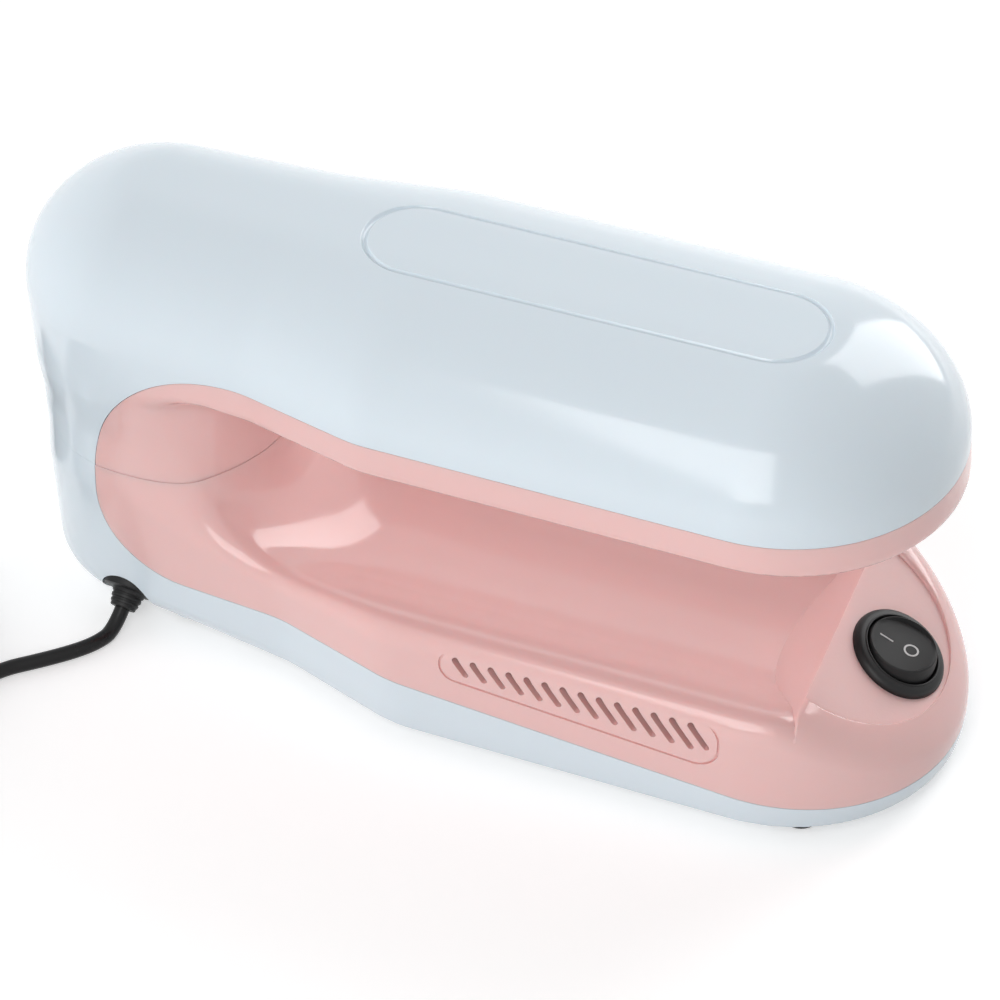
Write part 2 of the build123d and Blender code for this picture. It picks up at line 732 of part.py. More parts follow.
with BuildPart() as switch_rocker:
    rocker_place = switch_plane.offset(pivot) * Location((0, 0, 0), (0, -rocker_tilt, 0))
    with Locations(rocker_place):
        Sphere(rocker_radius)
    with Locations(rocker_place * Location((0, 0, rocker_top))):
        Box(4 * rocker_radius, 4 * rocker_radius, rocker_radius,
            align=(Align.CENTER, Align.CENTER, Align.MIN), mode=Mode.SUBTRACT)
    with Locations(rocker_place * Location((0, 0, -rocker_bottom))):
        Box(4 * rocker_radius, 4 * rocker_radius, rocker_radius,
            align=(Align.CENTER, Align.CENTER, Align.MAX), mode=Mode.SUBTRACT)
    face_half = math.sqrt(rocker_radius ** 2 - rocker_top ** 2)
    dish_centre = rocker_top + math.sqrt(rocker_dish ** 2 - (face_half - rocker_lip) ** 2)
    with Locations(rocker_place * Location((0, 0, dish_centre), (90, 0, 0))):
        Cylinder(rocker_dish, 4 * rocker_radius, mode=Mode.SUBTRACT)
    with Locations(rocker_place * Location((0, 0, 0), (90, 0, 0))):
        Cylinder(trunnion_radius, 2 * trunnion_reach)
with BuildPart() as switch_terminals:
    with Locations(*[switch_plane * Location((x, 0, -barrel_depth)) for x in (-terminal_x, terminal_x)]):
        Box(terminal_thickness, terminal_width, terminal_length,
            align=(Align.CENTER, Align.CENTER, Align.MAX))

# Fixings and feet, each kind one piece
with BuildPart() as front_screws:
    for x, y in both_sides(front_post):
        add(screw(x, y, screw_seat, front_screw_length))
with BuildPart() as rear_screws:
    for x, y in both_sides(rear_post):
        add(screw(x, y, screw_seat, rear_screw_length))
with BuildPart() as hood_screws:
    for x, y in both_sides(hood_screw_front) + both_sides(hood_screw_rear):
        add(screw(x, y, rim_z, hood_screw_length))
with BuildPart() as holder_screws:
    for x, y in both_sides((ear_x, ear_hole_y)):
        add(screw(x, y, holder_top - ear_thickness, holder_screw_length))
with BuildPart() as rubber_feet:
    with Locations(*[(x, y, 0) for x, y in both_sides(front_foot) + both_sides(rear_foot)]):
        Cylinder(foot_radius, foot_height + foot_recess, align=(Align.CENTER, Align.CENTER, Align.MIN))
    chamfer(rubber_feet.edges().group_by(Axis.Z)[0], foot_chamfer)

# Driver board and what sits on it
board_top = board_z + board_thickness
with BuildPart() as driver_board:
    with Locations((board_x, 0, board_z)):
        Box(board_length, board_width, board_thickness, align=(Align.CENTER, Align.CENTER, Align.MIN))
    with Locations(*[(x, 0, board_z) for x in standoff_x]):
        Cylinder(screw_hole_radius, 4 * board_thickness, mode=Mode.SUBTRACT)
with BuildPart() as board_screws:
    for x in standoff_x:
        add(screw(x, 0, 0, board_screw_length).rotate(Axis.X, 180).moved(Location((0, 0, board_top))))
with BuildPart() as choke:
    with Locations((*choke_place, board_top)):
        Box(*choke_size, align=(Align.CENTER, Align.CENTER, Align.MIN))
    chamfer(choke.edges().filter_by(Axis.Z), choke_chamfer)
with BuildPart() as capacitors:
    with Locations((*capacitor_place, board_top)):
        Cylinder(capacitor_radius, capacitor_height, align=(Align.CENTER, Align.CENTER, Align.MIN))
    fillet(capacitors.edges().group_by(Axis.Z)[-1], capacitor_round)
    with Locations((*film_place, board_top)):
        Box(*film_size, align=(Align.CENTER, Align.CENTER, Align.MIN))
with BuildPart() as transistors:
    with BuildSketch(Plane.XY.offset(board_top + transistor_lift)):
        with Locations(*both_sides((transistor_x, transistor_y))):
            Circle(transistor_radius)
            Rectangle(transistor_radius, 2 * transistor_radius, align=(Align.MIN, Align.CENTER),
                      mode=Mode.SUBTRACT)
    extrude(amount=transistor_height)
    with BuildSketch(Plane.XY.offset(board_top)):
        with Locations(*both_sides((transistor_leg_x, transistor_y))):
            Rectangle(*transistor_leg)
    extrude(amount=transistor_lift)

# Lead bushing, moulded on the lead: head in its pocket, neck outside, stem and collar inside
with BuildPart() as cord_bushing:
    with BuildSketch(gland_plane):
        Circle(gland_head_radius)
    extrude(amount=gland_head_height)
    fillet(cord_bushing.edges().group_by(Axis(gland_seat, gland_out))[-1], gland_head_height / 3)
    with BuildSketch(gland_plane.offset(gland_head_height)):
        Circle(gland_neck_radius + gland_neck_swell)
    with BuildSketch(gland_plane.offset(gland_head_height + gland_neck_length)):
        Circle(gland_neck_radius)
    loft()
    with BuildSketch(gland_plane):
        Circle(gland_hole_radius)
    extrude(amount=-gland_pad - slip)
    with BuildSketch(gland_plane.offset(-gland_pad - slip)):
        Circle(gland_hole_radius + gland_collar_swell)
    extrude(amount=-gland_collar)

# Inner wiring
gland_inside = gland_plane.from_local_coords((0, 0, -gland_pad - slip - gland_collar))
core_drop = (*mains_core_end, board_top + mains_core_run)
mains_lead = tube([gland_inside, gland_inside - gland_out * mains_core_run, core_drop,
                   (*mains_core_end, board_top)], mains_core_radius)
with BuildPart() as lamp_leads:
    for y in (-lamp_lead_y, lamp_lead_y):
        rise = [(x, y, z) for x, z in lamp_lead_run]
        add(tube([(lamp_lead_end, y, board_top), *rise, (lamp_lead_end, y, tube_z),
                  (holder_face_x - holder_length + slip, y, tube_z)], lead_radius))
with BuildPart() as switch_leads:
    for side, x in ((-1, -terminal_x), (1, terminal_x)):
        end = switch_plane.from_local_coords((x, side * terminal_width / 4,
                                              -barrel_depth - terminal_length - lead_radius))
        y = side * switch_lead_spread
        run = [(place, y, z) for place, z in switch_lead_run]
        add(tube([(run[0][0], y, board_top), *run,
                  (end.X - switch_lead_rise, y / 2, run[-1][2]), end], lead_radius))

# Mains lead outside: a short free stretch out of the bushing, then the rest in a tied coil
cord_start = gland_plane.from_local_coords((0, 0, gland_head_height + gland_neck_length))
floor_z = cord_diameter / 2
coil_z = floor_z + tie_thickness + tie_clearance
upper_z = plug_thickness / 2
coil_heading = Vector(*coil_direction).normalized()
coil_side = Vector(-coil_heading.Y, coil_heading.X)
coil_start = Vector(*coil_start_place, coil_z)
coil_entry = coil_start - coil_heading * cord_diameter
coil_centre = coil_start - coil_side * coil_radius
cord_landing = cord_start + gland_out * ((cord_start.Z - floor_z) / -gland_out.Z)
cord_points = [cord_start, cord_landing, *[(x, y, floor_z) for x, y in cord_run],
               coil_entry - coil_heading * coil_run_in, coil_entry]
print("cord bend radii", [round(radius, 1) for radius in bend_radii(cord_points)])
mains_cord = tube(cord_points, cord_diameter / 2)

turn_step = (cord_diameter + coil_gap) / 2
ends = [coil_radius - turn_step * k for k in range(lower_turns + 1)]
ends += [ends[-1] + turn_step * (k + 2) for k in range(upper_turns)]
coil_points = []
for k, distance in enumerate(ends):
    side = 1 if k % 2 == 0 else -1
    spot = coil_centre + coil_side * (side * distance)
    coil_points.append(Vector(spot.X, spot.Y, coil_z if k < lower_turns else upper_z))
with BuildPart() as cord_coil:
    with BuildLine() as coil_path:
        Line(coil_entry, coil_start)
        for k in range(lower_turns + upper_turns):
            first = coil_points[k]
            last = coil_points[k + 1]
            middle = (first + last) / 2
            bulge = (first - last).length / 2 * (-1 if k % 2 == 0 else 1)
            ThreePointArc(first, middle - coil_heading * bulge, last)
        coil_exit = coil_points[-1] - coil_heading * cord_diameter
        Line(coil_points[-1], coil_exit)
    with BuildSketch(Plane(origin=coil_path.line @ 0, z_dir=coil_path.line % 0)):
        Circle(cord_diameter / 2)
    sweep(path=coil_path.wire())
coil_length = sum(edge.length for edge in coil_path.edges())
print("cord volumes against section times length",
      round(cord_coil.part.volume / (coil_length * math.pi * cord_diameter ** 2 / 4), 4))
samples = [coil_path.wire() @ (i / 4000) for i in range(4001)]
skip = int(4000 * 4 * cord_diameter / coil_length)
least = min((a - b).length for i, a in enumerate(samples[::4]) for b in samples[i * 4 + skip::4])
print("least gap in the coil", round(least - cord_diameter, 2), "length of the coil", round(coil_length))
strand = cord_diameter / 2 + tie_clearance
tie_outer = coil_radius - 1.5 * turn_step + strand
tie_inner = coil_radius - (lower_turns - 0.5) * turn_step - strand
tie_height = upper_z - coil_z + 2 * strand
tie_corner_place = Vector(coil_centre.X, coil_centre.Y, 0) - coil_side * tie_width / 2
with BuildPart() as cord_tie:
    with BuildSketch(Plane(origin=tie_corner_place, x_dir=-coil_heading, z_dir=coil_side)):
        with Locations(((tie_inner + tie_outer) / 2, (coil_z + upper_z) / 2)):
            RectangleRounded(tie_outer - tie_inner + 2 * tie_thickness, tie_height + 2 * tie_thickness,
                             tie_corner)
            RectangleRounded(tie_outer - tie_inner, tie_height, tie_corner - tie_thickness,
                             mode=Mode.SUBTRACT)
    extrude(amount=tie_width)

# Two-pin plug lying flat behind the coil
plug_turns = [(-coil_heading).rotate(Axis.Z, turn * plug_turn) for turn in range(3)]
plug_points = [coil_exit]
for heading in plug_turns:
    plug_points.append(plug_points[-1] + heading * plug_run)
plug_lead = tube(plug_points, cord_diameter / 2)
plug_plane = Plane(origin=plug_points[-1], x_dir=Vector(-plug_turns[-1].Y, plug_turns[-1].X),
                   z_dir=plug_turns[-1])
with BuildPart() as plug_body:
    with BuildSketch(plug_plane):
        RectangleRounded(plug_neck_width, plug_neck_thickness, plug_neck_thickness * plug_corner)
    with BuildSketch(plug_plane.offset(plug_length - plug_face_length)):
        RectangleRounded(plug_width, plug_thickness, plug_thickness * plug_corner)
    loft()
    with BuildSketch(plug_plane.offset(plug_length - plug_face_length)):
        RectangleRounded(plug_width, plug_thickness, plug_thickness * plug_corner)
    extrude(amount=plug_face_length)
with BuildPart() as plug_pins:
    with BuildSketch(plug_plane.offset(plug_length)):
        with Locations((-plug_pin_spacing / 2, 0), (plug_pin_spacing / 2, 0)):
            Circle(plug_pin_radius)
    extrude(amount=plug_pin_length)
    fillet(plug_pins.edges().group_by(Axis(plug_plane.origin, plug_plane.z_dir))[-1], plug_pin_radius * 0.6)

pieces = {
    "top_cover": top_cover.part,
    "hood_liner": hood_liner.part,
    "base_cover": base_cover.part,
    "base_shell": base_shell.part,
    "reflector_pan": reflector_pan.part,
    "uv_tube": uv_tube.part,
    "tube_cap": tube_cap.part,
    "tube_pins": tube_pins.part,
    "lamp_holder": lamp_holder.part,
    "switch_housing": switch_housing.part,
    "switch_rocker": switch_rocker.part,
    "switch_terminals": switch_terminals.part,
    "front_screws": front_screws.part,
    "rear_screws": rear_screws.part,
    "hood_screws": hood_screws.part,
    "holder_screws": holder_screws.part,
    "board_screws": board_screws.part,
    "rubber_feet": rubber_feet.part,
    "driver_board": driver_board.part,
    "choke": choke.part,
    "capacitors": capacitors.part,
    "transistors": transistors.part,
    "cord_bushing": cord_bushing.part,
    "mains_lead": mains_lead,
    "lamp_leads": lamp_leads.part,
    "switch_leads": switch_leads.part,
    "mains_cord": mains_cord,
    "cord_coil": cord_coil.part,
    "cord_tie": cord_tie.part,
    "plug_lead": plug_lead,
    "plug_body": plug_body.part,
    "plug_pins": plug_pins.part,
}
os.makedirs("parts", exist_ok=True)
for node, piece in pieces.items():
    piece.label = node
    export_step(piece, f"parts/{node}.step")
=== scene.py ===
import math

import bmesh
import bpy
import numpy as np
from bpy.props import FloatProperty, IntProperty, PointerProperty, StringProperty
from bpy.types import Operator, Panel, PropertyGroup
from mathutils import Matrix, Vector


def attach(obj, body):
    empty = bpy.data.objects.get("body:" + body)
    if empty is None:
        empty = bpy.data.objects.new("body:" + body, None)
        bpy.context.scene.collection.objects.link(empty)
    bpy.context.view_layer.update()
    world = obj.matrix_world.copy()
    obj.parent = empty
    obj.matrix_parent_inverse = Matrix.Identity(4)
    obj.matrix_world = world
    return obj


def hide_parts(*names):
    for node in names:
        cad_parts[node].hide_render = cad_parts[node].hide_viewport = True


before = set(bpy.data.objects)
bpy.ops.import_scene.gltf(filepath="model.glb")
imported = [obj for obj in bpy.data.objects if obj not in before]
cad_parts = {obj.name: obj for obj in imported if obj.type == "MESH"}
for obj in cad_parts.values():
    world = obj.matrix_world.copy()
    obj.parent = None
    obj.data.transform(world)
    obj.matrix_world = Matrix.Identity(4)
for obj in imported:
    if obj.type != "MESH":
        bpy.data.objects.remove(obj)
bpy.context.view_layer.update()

bl_info = {
    "name": "Mini nail lamp",
    "version": (1, 0, 0),
    "blender": (4, 5, 0),
    "location": "View3D > Sidebar > Nail lamp",
    "description": "Builds the shells, switch, lead and finishes of a small C-shaped nail lamp",
    "category": "Object",
}

MM = 0.001


# Settings a user may change

class LampShellSettings(PropertyGroup):
    """Sizes of the four moulded shells."""
    wall: FloatProperty(name="Wall", description="Thickness of the moulded shells", default=0.0019,
                        unit="LENGTH")
    cell: FloatProperty(name="Mesh cell", description="Spacing of the shells' surface mesh", default=0.0012,
                        unit="LENGTH")
    deck_roll: FloatProperty(name="Deck roll", description="Radius of the rolled edge round the deck",
                             default=0.0062, unit="LENGTH")
    rim_roll: FloatProperty(name="Rim roll", description="Radius of the hood's lower edge", default=0.0016,
                            unit="LENGTH")
    foot_flare: FloatProperty(name="Foot flare", description="Radius where the column runs out into the base",
                              default=0.026, unit="LENGTH")
    seam: FloatProperty(name="Seam", description="Gap between neighbouring shells", default=0.00013,
                        unit="LENGTH")
    column_seam: FloatProperty(name="Column seam", description="Width of the pink groove round the column",
                               default=0.0005, unit="LENGTH")
    vent_count: IntProperty(name="Vents", description="Slots in each side of the base", default=14, min=1)
    vent_width: FloatProperty(name="Vent width", description="Width of one slot", default=0.0015,
                              unit="LENGTH")


class LampLeadSettings(PropertyGroup):
    """Sizes of the mains lead."""
    diameter: FloatProperty(name="Diameter", description="Diameter of the round lead", default=0.0034,
                            unit="LENGTH")
    length: FloatProperty(name="Length", description="Whole length from bushing to plug", default=1.232,
                          unit="LENGTH")


class LampColourSettings(PropertyGroup):
    """Colours of the finishes, as sRGB hex values."""
    white: StringProperty(name="White ABS", description="Top cover and base shell", default="#DFEAF2")
    pink: StringProperty(name="Pink ABS", description="Base cover and hood liner", default="#F2C5C2")
    black: StringProperty(name="Black", description="Switch, bushing and lead", default="#101011")
    mark: StringProperty(name="Marks", description="Printed marks on the rocker", default="#B9B9B9")


# Small helpers

def linear(hex_value):
    """A colour written as sRGB hex, as the linear values the shader takes."""
    value = hex_value.lstrip("#")
    parts = [int(value[i:i + 2], 16) / 255 for i in (0, 2, 4)]
    return tuple(c / 12.92 if c <= 0.04045 else ((c + 0.055) / 1.055) ** 2.4 for c in parts) + (1.0,)


def add_node(tree, kind, inputs=None, **values):
    """Adds a node, sets its own values and its sockets, and links where a socket is given."""
    node = tree.nodes.new(kind)
    for name, value in values.items():
        setattr(node, name, value)
    for name, value in (inputs or {}).items():
        socket = node.inputs[name]
        if isinstance(value, bpy.types.NodeSocket):
            tree.links.new(value, socket)
        else:
            socket.default_value = value
    return node


def linked(name, data):
    """An object with its data, put into the scene."""
    obj = bpy.data.objects.new(name, data)
    bpy.context.scene.collection.objects.link(obj)
    return obj


def new_object(name, vertices, faces, material=None, smooth=True, angle=35.0):
    """A mesh object at the origin, its vertices given in metres."""
    mesh = bpy.data.meshes.new(name)
    if isinstance(vertices, np.ndarray):
        vertices = vertices.tolist()
    if isinstance(faces, np.ndarray):
        faces = faces.tolist()
    mesh.from_pydata(vertices, [], faces)
    mesh.validate()
    mesh.update()
    obj = linked(name, mesh)
    finish_mesh(obj, smooth, angle)
    if material:
        mesh.materials.append(material)
    return obj


def finish_mesh(obj, smooth=True, angle=35.0):
    """Shades a mesh smooth and marks its sharp edges by angle."""
    for polygon in obj.data.polygons:
        polygon.use_smooth = smooth
    if smooth:
        obj.data.set_sharp_from_angle(angle=math.radians(angle))


def apply_modifiers(obj):
    """Turns the object and its modifiers into a plain mesh."""
    graph = bpy.context.evaluated_depsgraph_get()
    mesh = bpy.data.meshes.new_from_object(obj.evaluated_get(graph))
    obj.modifiers.clear()
    old = obj.data
    obj.data = mesh
    mesh.name = obj.name
    if old.users == 0:
        bpy.data.meshes.remove(old)


def cut(obj, cutter):
    """Takes the cutter's space out of the object and removes the cutter."""
    modifier = obj.modifiers.new("cut", "BOOLEAN")
    modifier.operation = "DIFFERENCE"
    modifier.solver = "MANIFOLD"
    modifier.object = cutter
    apply_modifiers(obj)
    bpy.data.objects.remove(cutter)


def prism(outline, low, high, place=Matrix.Identity(4)):
    """A closed straight prism over an outline of 2-D points, in millimetres."""
    return stacked([(outline, low), (outline, high)], place)


def ring_of(sections, place=Matrix.Identity(4)):
    """A closed ring through outlines with the same number of points, each at its height, in millimetres."""
    count, points, faces = len(sections[0][0]), [], []
    for outline, level in sections:
        points += [place @ Vector((x, y, level)) for x, y in outline]
    for k in range(len(sections)):
        here, there = k * count, (k + 1) % len(sections) * count
        for i in range(count):
            j = (i + 1) % count
            faces.append([here + i, here + j, there + j, there + i])
    return points, faces


def ring_prism(outside, inside, low, high, place=Matrix.Identity(4)):
    """A closed ring between two outlines, with straight walls."""
    return ring_of([(outside, low), (outside, high), (inside, high), (inside, low)], place)


def stacked(sections, place=Matrix.Identity(4)):
    """A closed solid through outlines from its lowest to its highest."""
    points, faces = ring_of(sections, place)
    count = len(sections[0][0])
    last = len(points) - count
    faces = faces[:-count] + [list(range(count))[::-1], list(range(last, last + count))]
    return points, faces


def joined(name, solids):
    """One object from several closed solids given in millimetres, its faces turned outwards."""
    points, faces = [], []
    for solid_points, solid_faces in solids:
        start = len(points)
        points += [tuple(p * MM) for p in solid_points]
        faces += [[start + i for i in face] for face in solid_faces]
    obj = new_object(name, points, faces, smooth=False)
    mesh = bmesh.new()
    mesh.from_mesh(obj.data)
    bmesh.ops.recalc_face_normals(mesh, faces=mesh.faces)
    bmesh.ops.triangulate(mesh, faces=[f for f in mesh.faces if len(f.verts) > 4])
    mesh.to_mesh(obj.data)
    mesh.free()
    return obj


def slot_outline(half_width, rear, front, count=24):
    """A slot with round ends along the first axis."""
    points = []
    for k in range(count + 1):
        a = -math.pi / 2 + math.pi * k / count
        points.append((front - half_width + half_width * math.cos(a), half_width * math.sin(a)))
    for k in range(count + 1):
        a = math.pi / 2 + math.pi * k / count
        points.append((rear + half_width + half_width * math.cos(a), half_width * math.sin(a)))
    return points


def circle_outline(radius, count=64, centre=(0, 0)):
    """A circle as points."""
    return [(centre[0] + radius * math.cos(2 * math.pi * k / count),
             centre[1] + radius * math.sin(2 * math.pi * k / count)) for k in range(count)]


def skin_over(name, rings, material, angle=35.0):
    """A closed skin through rings of points in millimetres. A ring of one point is a pole."""
    mesh = bmesh.new()
    loops = [[mesh.verts.new(point * MM) for point in ring] for ring in rings]
    for low, high in zip(loops, loops[1:]):
        count = max(len(low), len(high))
        for k in range(count):
            j = (k + 1) % count
            corners = low[k % len(low)], low[j % len(low)], high[j % len(high)], high[k % len(high)]
            mesh.faces.new(list(dict.fromkeys(corners)))
    bmesh.ops.recalc_face_normals(mesh, faces=mesh.faces)
    data = bpy.data.meshes.new(name)
    mesh.to_mesh(data)
    mesh.free()
    obj = linked(name, data)
    finish_mesh(obj, angle=angle)
    data.materials.append(material)
    return obj


def lathe(name, profile, place, material, count=96):
    """Turns a profile of (radius, height) points in millimetres round the place's z axis."""
    rings = [[place @ Vector((x, y, height)) for x, y in circle_outline(radius, count if radius else 1)]
             for radius, height in profile]
    return skin_over(name, rings, material)


# The lamp's form as distances in millimetres, negative inside

# Levels of the body. The dome is an ellipse cut off where it has turned by 75 degrees
FLOOR_Z, TUCK_Z, DECK_Z, SEAM_Z, RIM_Z, HOOD_Z = 3.0, 12.0, 33.0, 45.0, 72.4, 80.2
DOME_RISE = 25.3
TOP_Z = HOOD_Z + DOME_RISE * math.sin(math.radians(75))

# The plan at the floor, and how far each measure moves up to the hood's edge
SIDE_Y, NECK_Y, COLUMN_RADIUS = (39.6, -1.6), (30.4, 1.6), (27.4, 1.9)
NOSE_X, NECK_X, FLARE_X = (66.2, -4.8), (-38.0, -6.0), (-10.0, -7.0)
COLUMN_X = -76.7
SIDE_BEND = 30.0
SIDE_TUCK, COLUMN_TUCK, TUCK_POWER = 1.2, 5.6, 2.5

# The hand's opening: the column's front, the trough's axis height and radius, the ramp and the switch's slope
INNER_COLUMN = (-78.6, 29.6)
TROUGH = (52.0, 34.0)
SLOPE_X, CREASE_X = 75.6, 77.9
DECK_SLOPE, RAMP_SLOPE = math.radians(27.4), math.radians(47.0)
CREASE_Z = DECK_Z - (CREASE_X - SLOPE_X) * math.tan(DECK_SLOPE)
ROLL_FROM, ROLL_OVER = 52.0, 14.0

# Roundings
TOP_BLEND, FLOOR_ROUND, SLOPE_ROUND, TROUGH_ROUND, RAMP_ROUND, RIM_ROUND = 0.8, 0.8, 3.0, 10.0, 0.5, 11.0

# The line between pink and white: its height, where it starts to fall, its slope, and the arch at the rear
EDGE_Z, EDGE_X, EDGE_FALL = 17.4, -15.0, 0.081
ARCH_X, ARCH_LOW_ROUND, ARCH_HIGH_ROUND = -82.8, 20.0, 38.0

# Slopes are measured over this distance, and a step along one never divides by less than the least rate
STEP, LEAST_RATE = 0.01, 0.3


def round_and(a, b, radius):
    """Overlap of two solids, with the edge between them rounded."""
    corner = np.hypot(np.maximum(a + radius, 0), np.maximum(b + radius, 0))
    return np.minimum(np.maximum(a, b), -radius) + corner


def round_or(a, b, radius):
    """Two solids joined, with the inner corner between them filled to a radius."""
    corner = np.hypot(np.maximum(radius - a, 0), np.maximum(radius - b, 0))
    return np.maximum(np.minimum(a, b), radius) - corner


def plan(x, y, u, tuck):
    """How far a point lies from the plan's middle line, and how wide the plan is there."""
    half = SIDE_Y[0] + SIDE_Y[1] * u - SIDE_TUCK * tuck
    neck_y = NECK_Y[0] + NECK_Y[1] * u - SIDE_TUCK * tuck
    radius = COLUMN_RADIUS[0] + COLUMN_RADIUS[1] * u - COLUMN_TUCK * tuck
    nose_x, neck_x, flare_x = (start + move * u for start, move in (NOSE_X, NECK_X, FLARE_X))
    run = neck_x - COLUMN_X
    turn = np.arctan2(neck_y, run) + np.arccos(radius / np.hypot(run, neck_y))
    first = turn - math.pi / 2
    second = np.arctan2(half - neck_y, flare_x - neck_x)
    touch_x = COLUMN_X + radius * np.cos(turn)
    neck_bend = SIDE_BEND + SIDE_TUCK * tuck
    flare_bend = SIDE_BEND - SIDE_TUCK * tuck
    neck_run = neck_bend * np.tan((second - first) / 2)
    flare_run = flare_bend * np.tan(second / 2)
    first_end = neck_x - neck_run * np.cos(first)
    neck_centre = (first_end - neck_bend * np.sin(first),
                   neck_y - neck_run * np.sin(first) + neck_bend * np.cos(first))
    second_end = flare_x - flare_run * np.cos(second)
    side = np.select(
        [x < first_end, x < neck_x + neck_run * np.cos(second), x < second_end, x < flare_x + flare_run],
        [neck_y + (x - neck_x) * np.tan(first),
         neck_centre[1] - np.sqrt(np.maximum(neck_bend ** 2 - (x - neck_centre[0]) ** 2, 0)),
         neck_y + (x - neck_x) * np.tan(second),
         half - flare_bend + np.sqrt(np.maximum(flare_bend ** 2 - (x - flare_x - flare_run) ** 2, 0))],
        half)
    ends = [x < touch_x, x > nose_x]
    off = np.select(ends, [np.hypot(x - COLUMN_X, y), np.hypot(x - nose_x, y)], np.abs(y))
    return off, np.select(ends, [radius, half], side)


def outer_form(x, y, z):
    """The closed body: straight sides, a domed top with a flat, and a tucked lower edge."""
    u = (np.clip(z, FLOOR_Z, HOOD_Z) - FLOOR_Z) / (HOOD_Z - FLOOR_Z)
    tuck = (np.clip(TUCK_Z - z, 0, TUCK_Z - FLOOR_Z) / (TUCK_Z - FLOOR_Z)) ** TUCK_POWER
    off, wide = plan(x, y, u, tuck)
    rise = np.maximum(z - HOOD_Z, 0) / DOME_RISE
    share = np.maximum(np.hypot(off / wide, rise), 1e-6)
    steep = np.maximum(np.hypot(off / wide ** 2, rise / DOME_RISE), 1e-6)
    side = np.where(z < HOOD_Z, off - wide, share * (share - 1) / steep)
    flat = z - TOP_Z
    body = np.maximum(side, flat) + np.maximum(TOP_BLEND - np.abs(side - flat), 0) ** 2 / (4 * TOP_BLEND)
    return round_and(body, FLOOR_Z - z, FLOOR_ROUND)


def lamp_form(x, y, z, settings):
    """The body with the hand's opening taken out, the deck's edge rolled and the column flared."""
    slope = (x - SLOPE_X) * math.sin(DECK_SLOPE) + (z - DECK_Z) * math.cos(DECK_SLOPE)
    deck = round_and(z - DECK_Z, slope, SLOPE_ROUND)
    ramp = (x - CREASE_X) * math.sin(RAMP_SLOPE) - (z - CREASE_Z) * math.cos(RAMP_SLOPE)
    trough = np.hypot(y, z - TROUGH[0]) - TROUGH[1]
    base = np.minimum(round_and(deck, -trough, TROUGH_ROUND), round_and(deck, -ramp, RAMP_ROUND))
    column = np.hypot(x - INNER_COLUMN[0], y) - INNER_COLUMN[1]
    inner = round_or(round_or(base, column, settings.foot_flare / MM), RIM_Z - z, RIM_ROUND)
    fade = np.clip((z - ROLL_FROM) / ROLL_OVER, 0, 1)
    deck_roll, rim_roll = settings.deck_roll / MM, settings.rim_roll / MM
    roll = deck_roll + (rim_roll - deck_roll) * fade * fade * (3 - 2 * fade)
    return round_and(outer_form(x, y, z), inner, roll)


def pink_part(x, z):
    """Distance to the region of the pink mouldings, seen from the side."""
    low = EDGE_Z - np.maximum(x - EDGE_X, 0) * EDGE_FALL - z
    back = ARCH_X - x
    return np.maximum(round_and(low, back, ARCH_LOW_ROUND), round_and(z - HOOD_Z, back, ARCH_HIGH_ROUND))


def steepest(form, points):
    """Unit outward direction of a form at many points."""
    result = np.empty_like(points)
    for axis in range(3):
        ahead, behind = points.copy(), points.copy()
        ahead[:, axis] += STEP
        behind[:, axis] -= STEP
        result[:, axis] = form(ahead) - form(behind)
    return result / np.maximum(np.linalg.norm(result, axis=1, keepdims=True), 1e-12)


def settle(form, points, rounds=4):
    """Moves points along the steepest direction until they lie on the form's surface."""
    for _ in range(rounds):
        value = form(points)
        normal = steepest(form, points)
        rate = (form(points + normal * STEP) - value) / STEP
        points = points - normal * np.clip(value / np.maximum(rate, LEAST_RATE), -1, 1)[:, None]
    return points


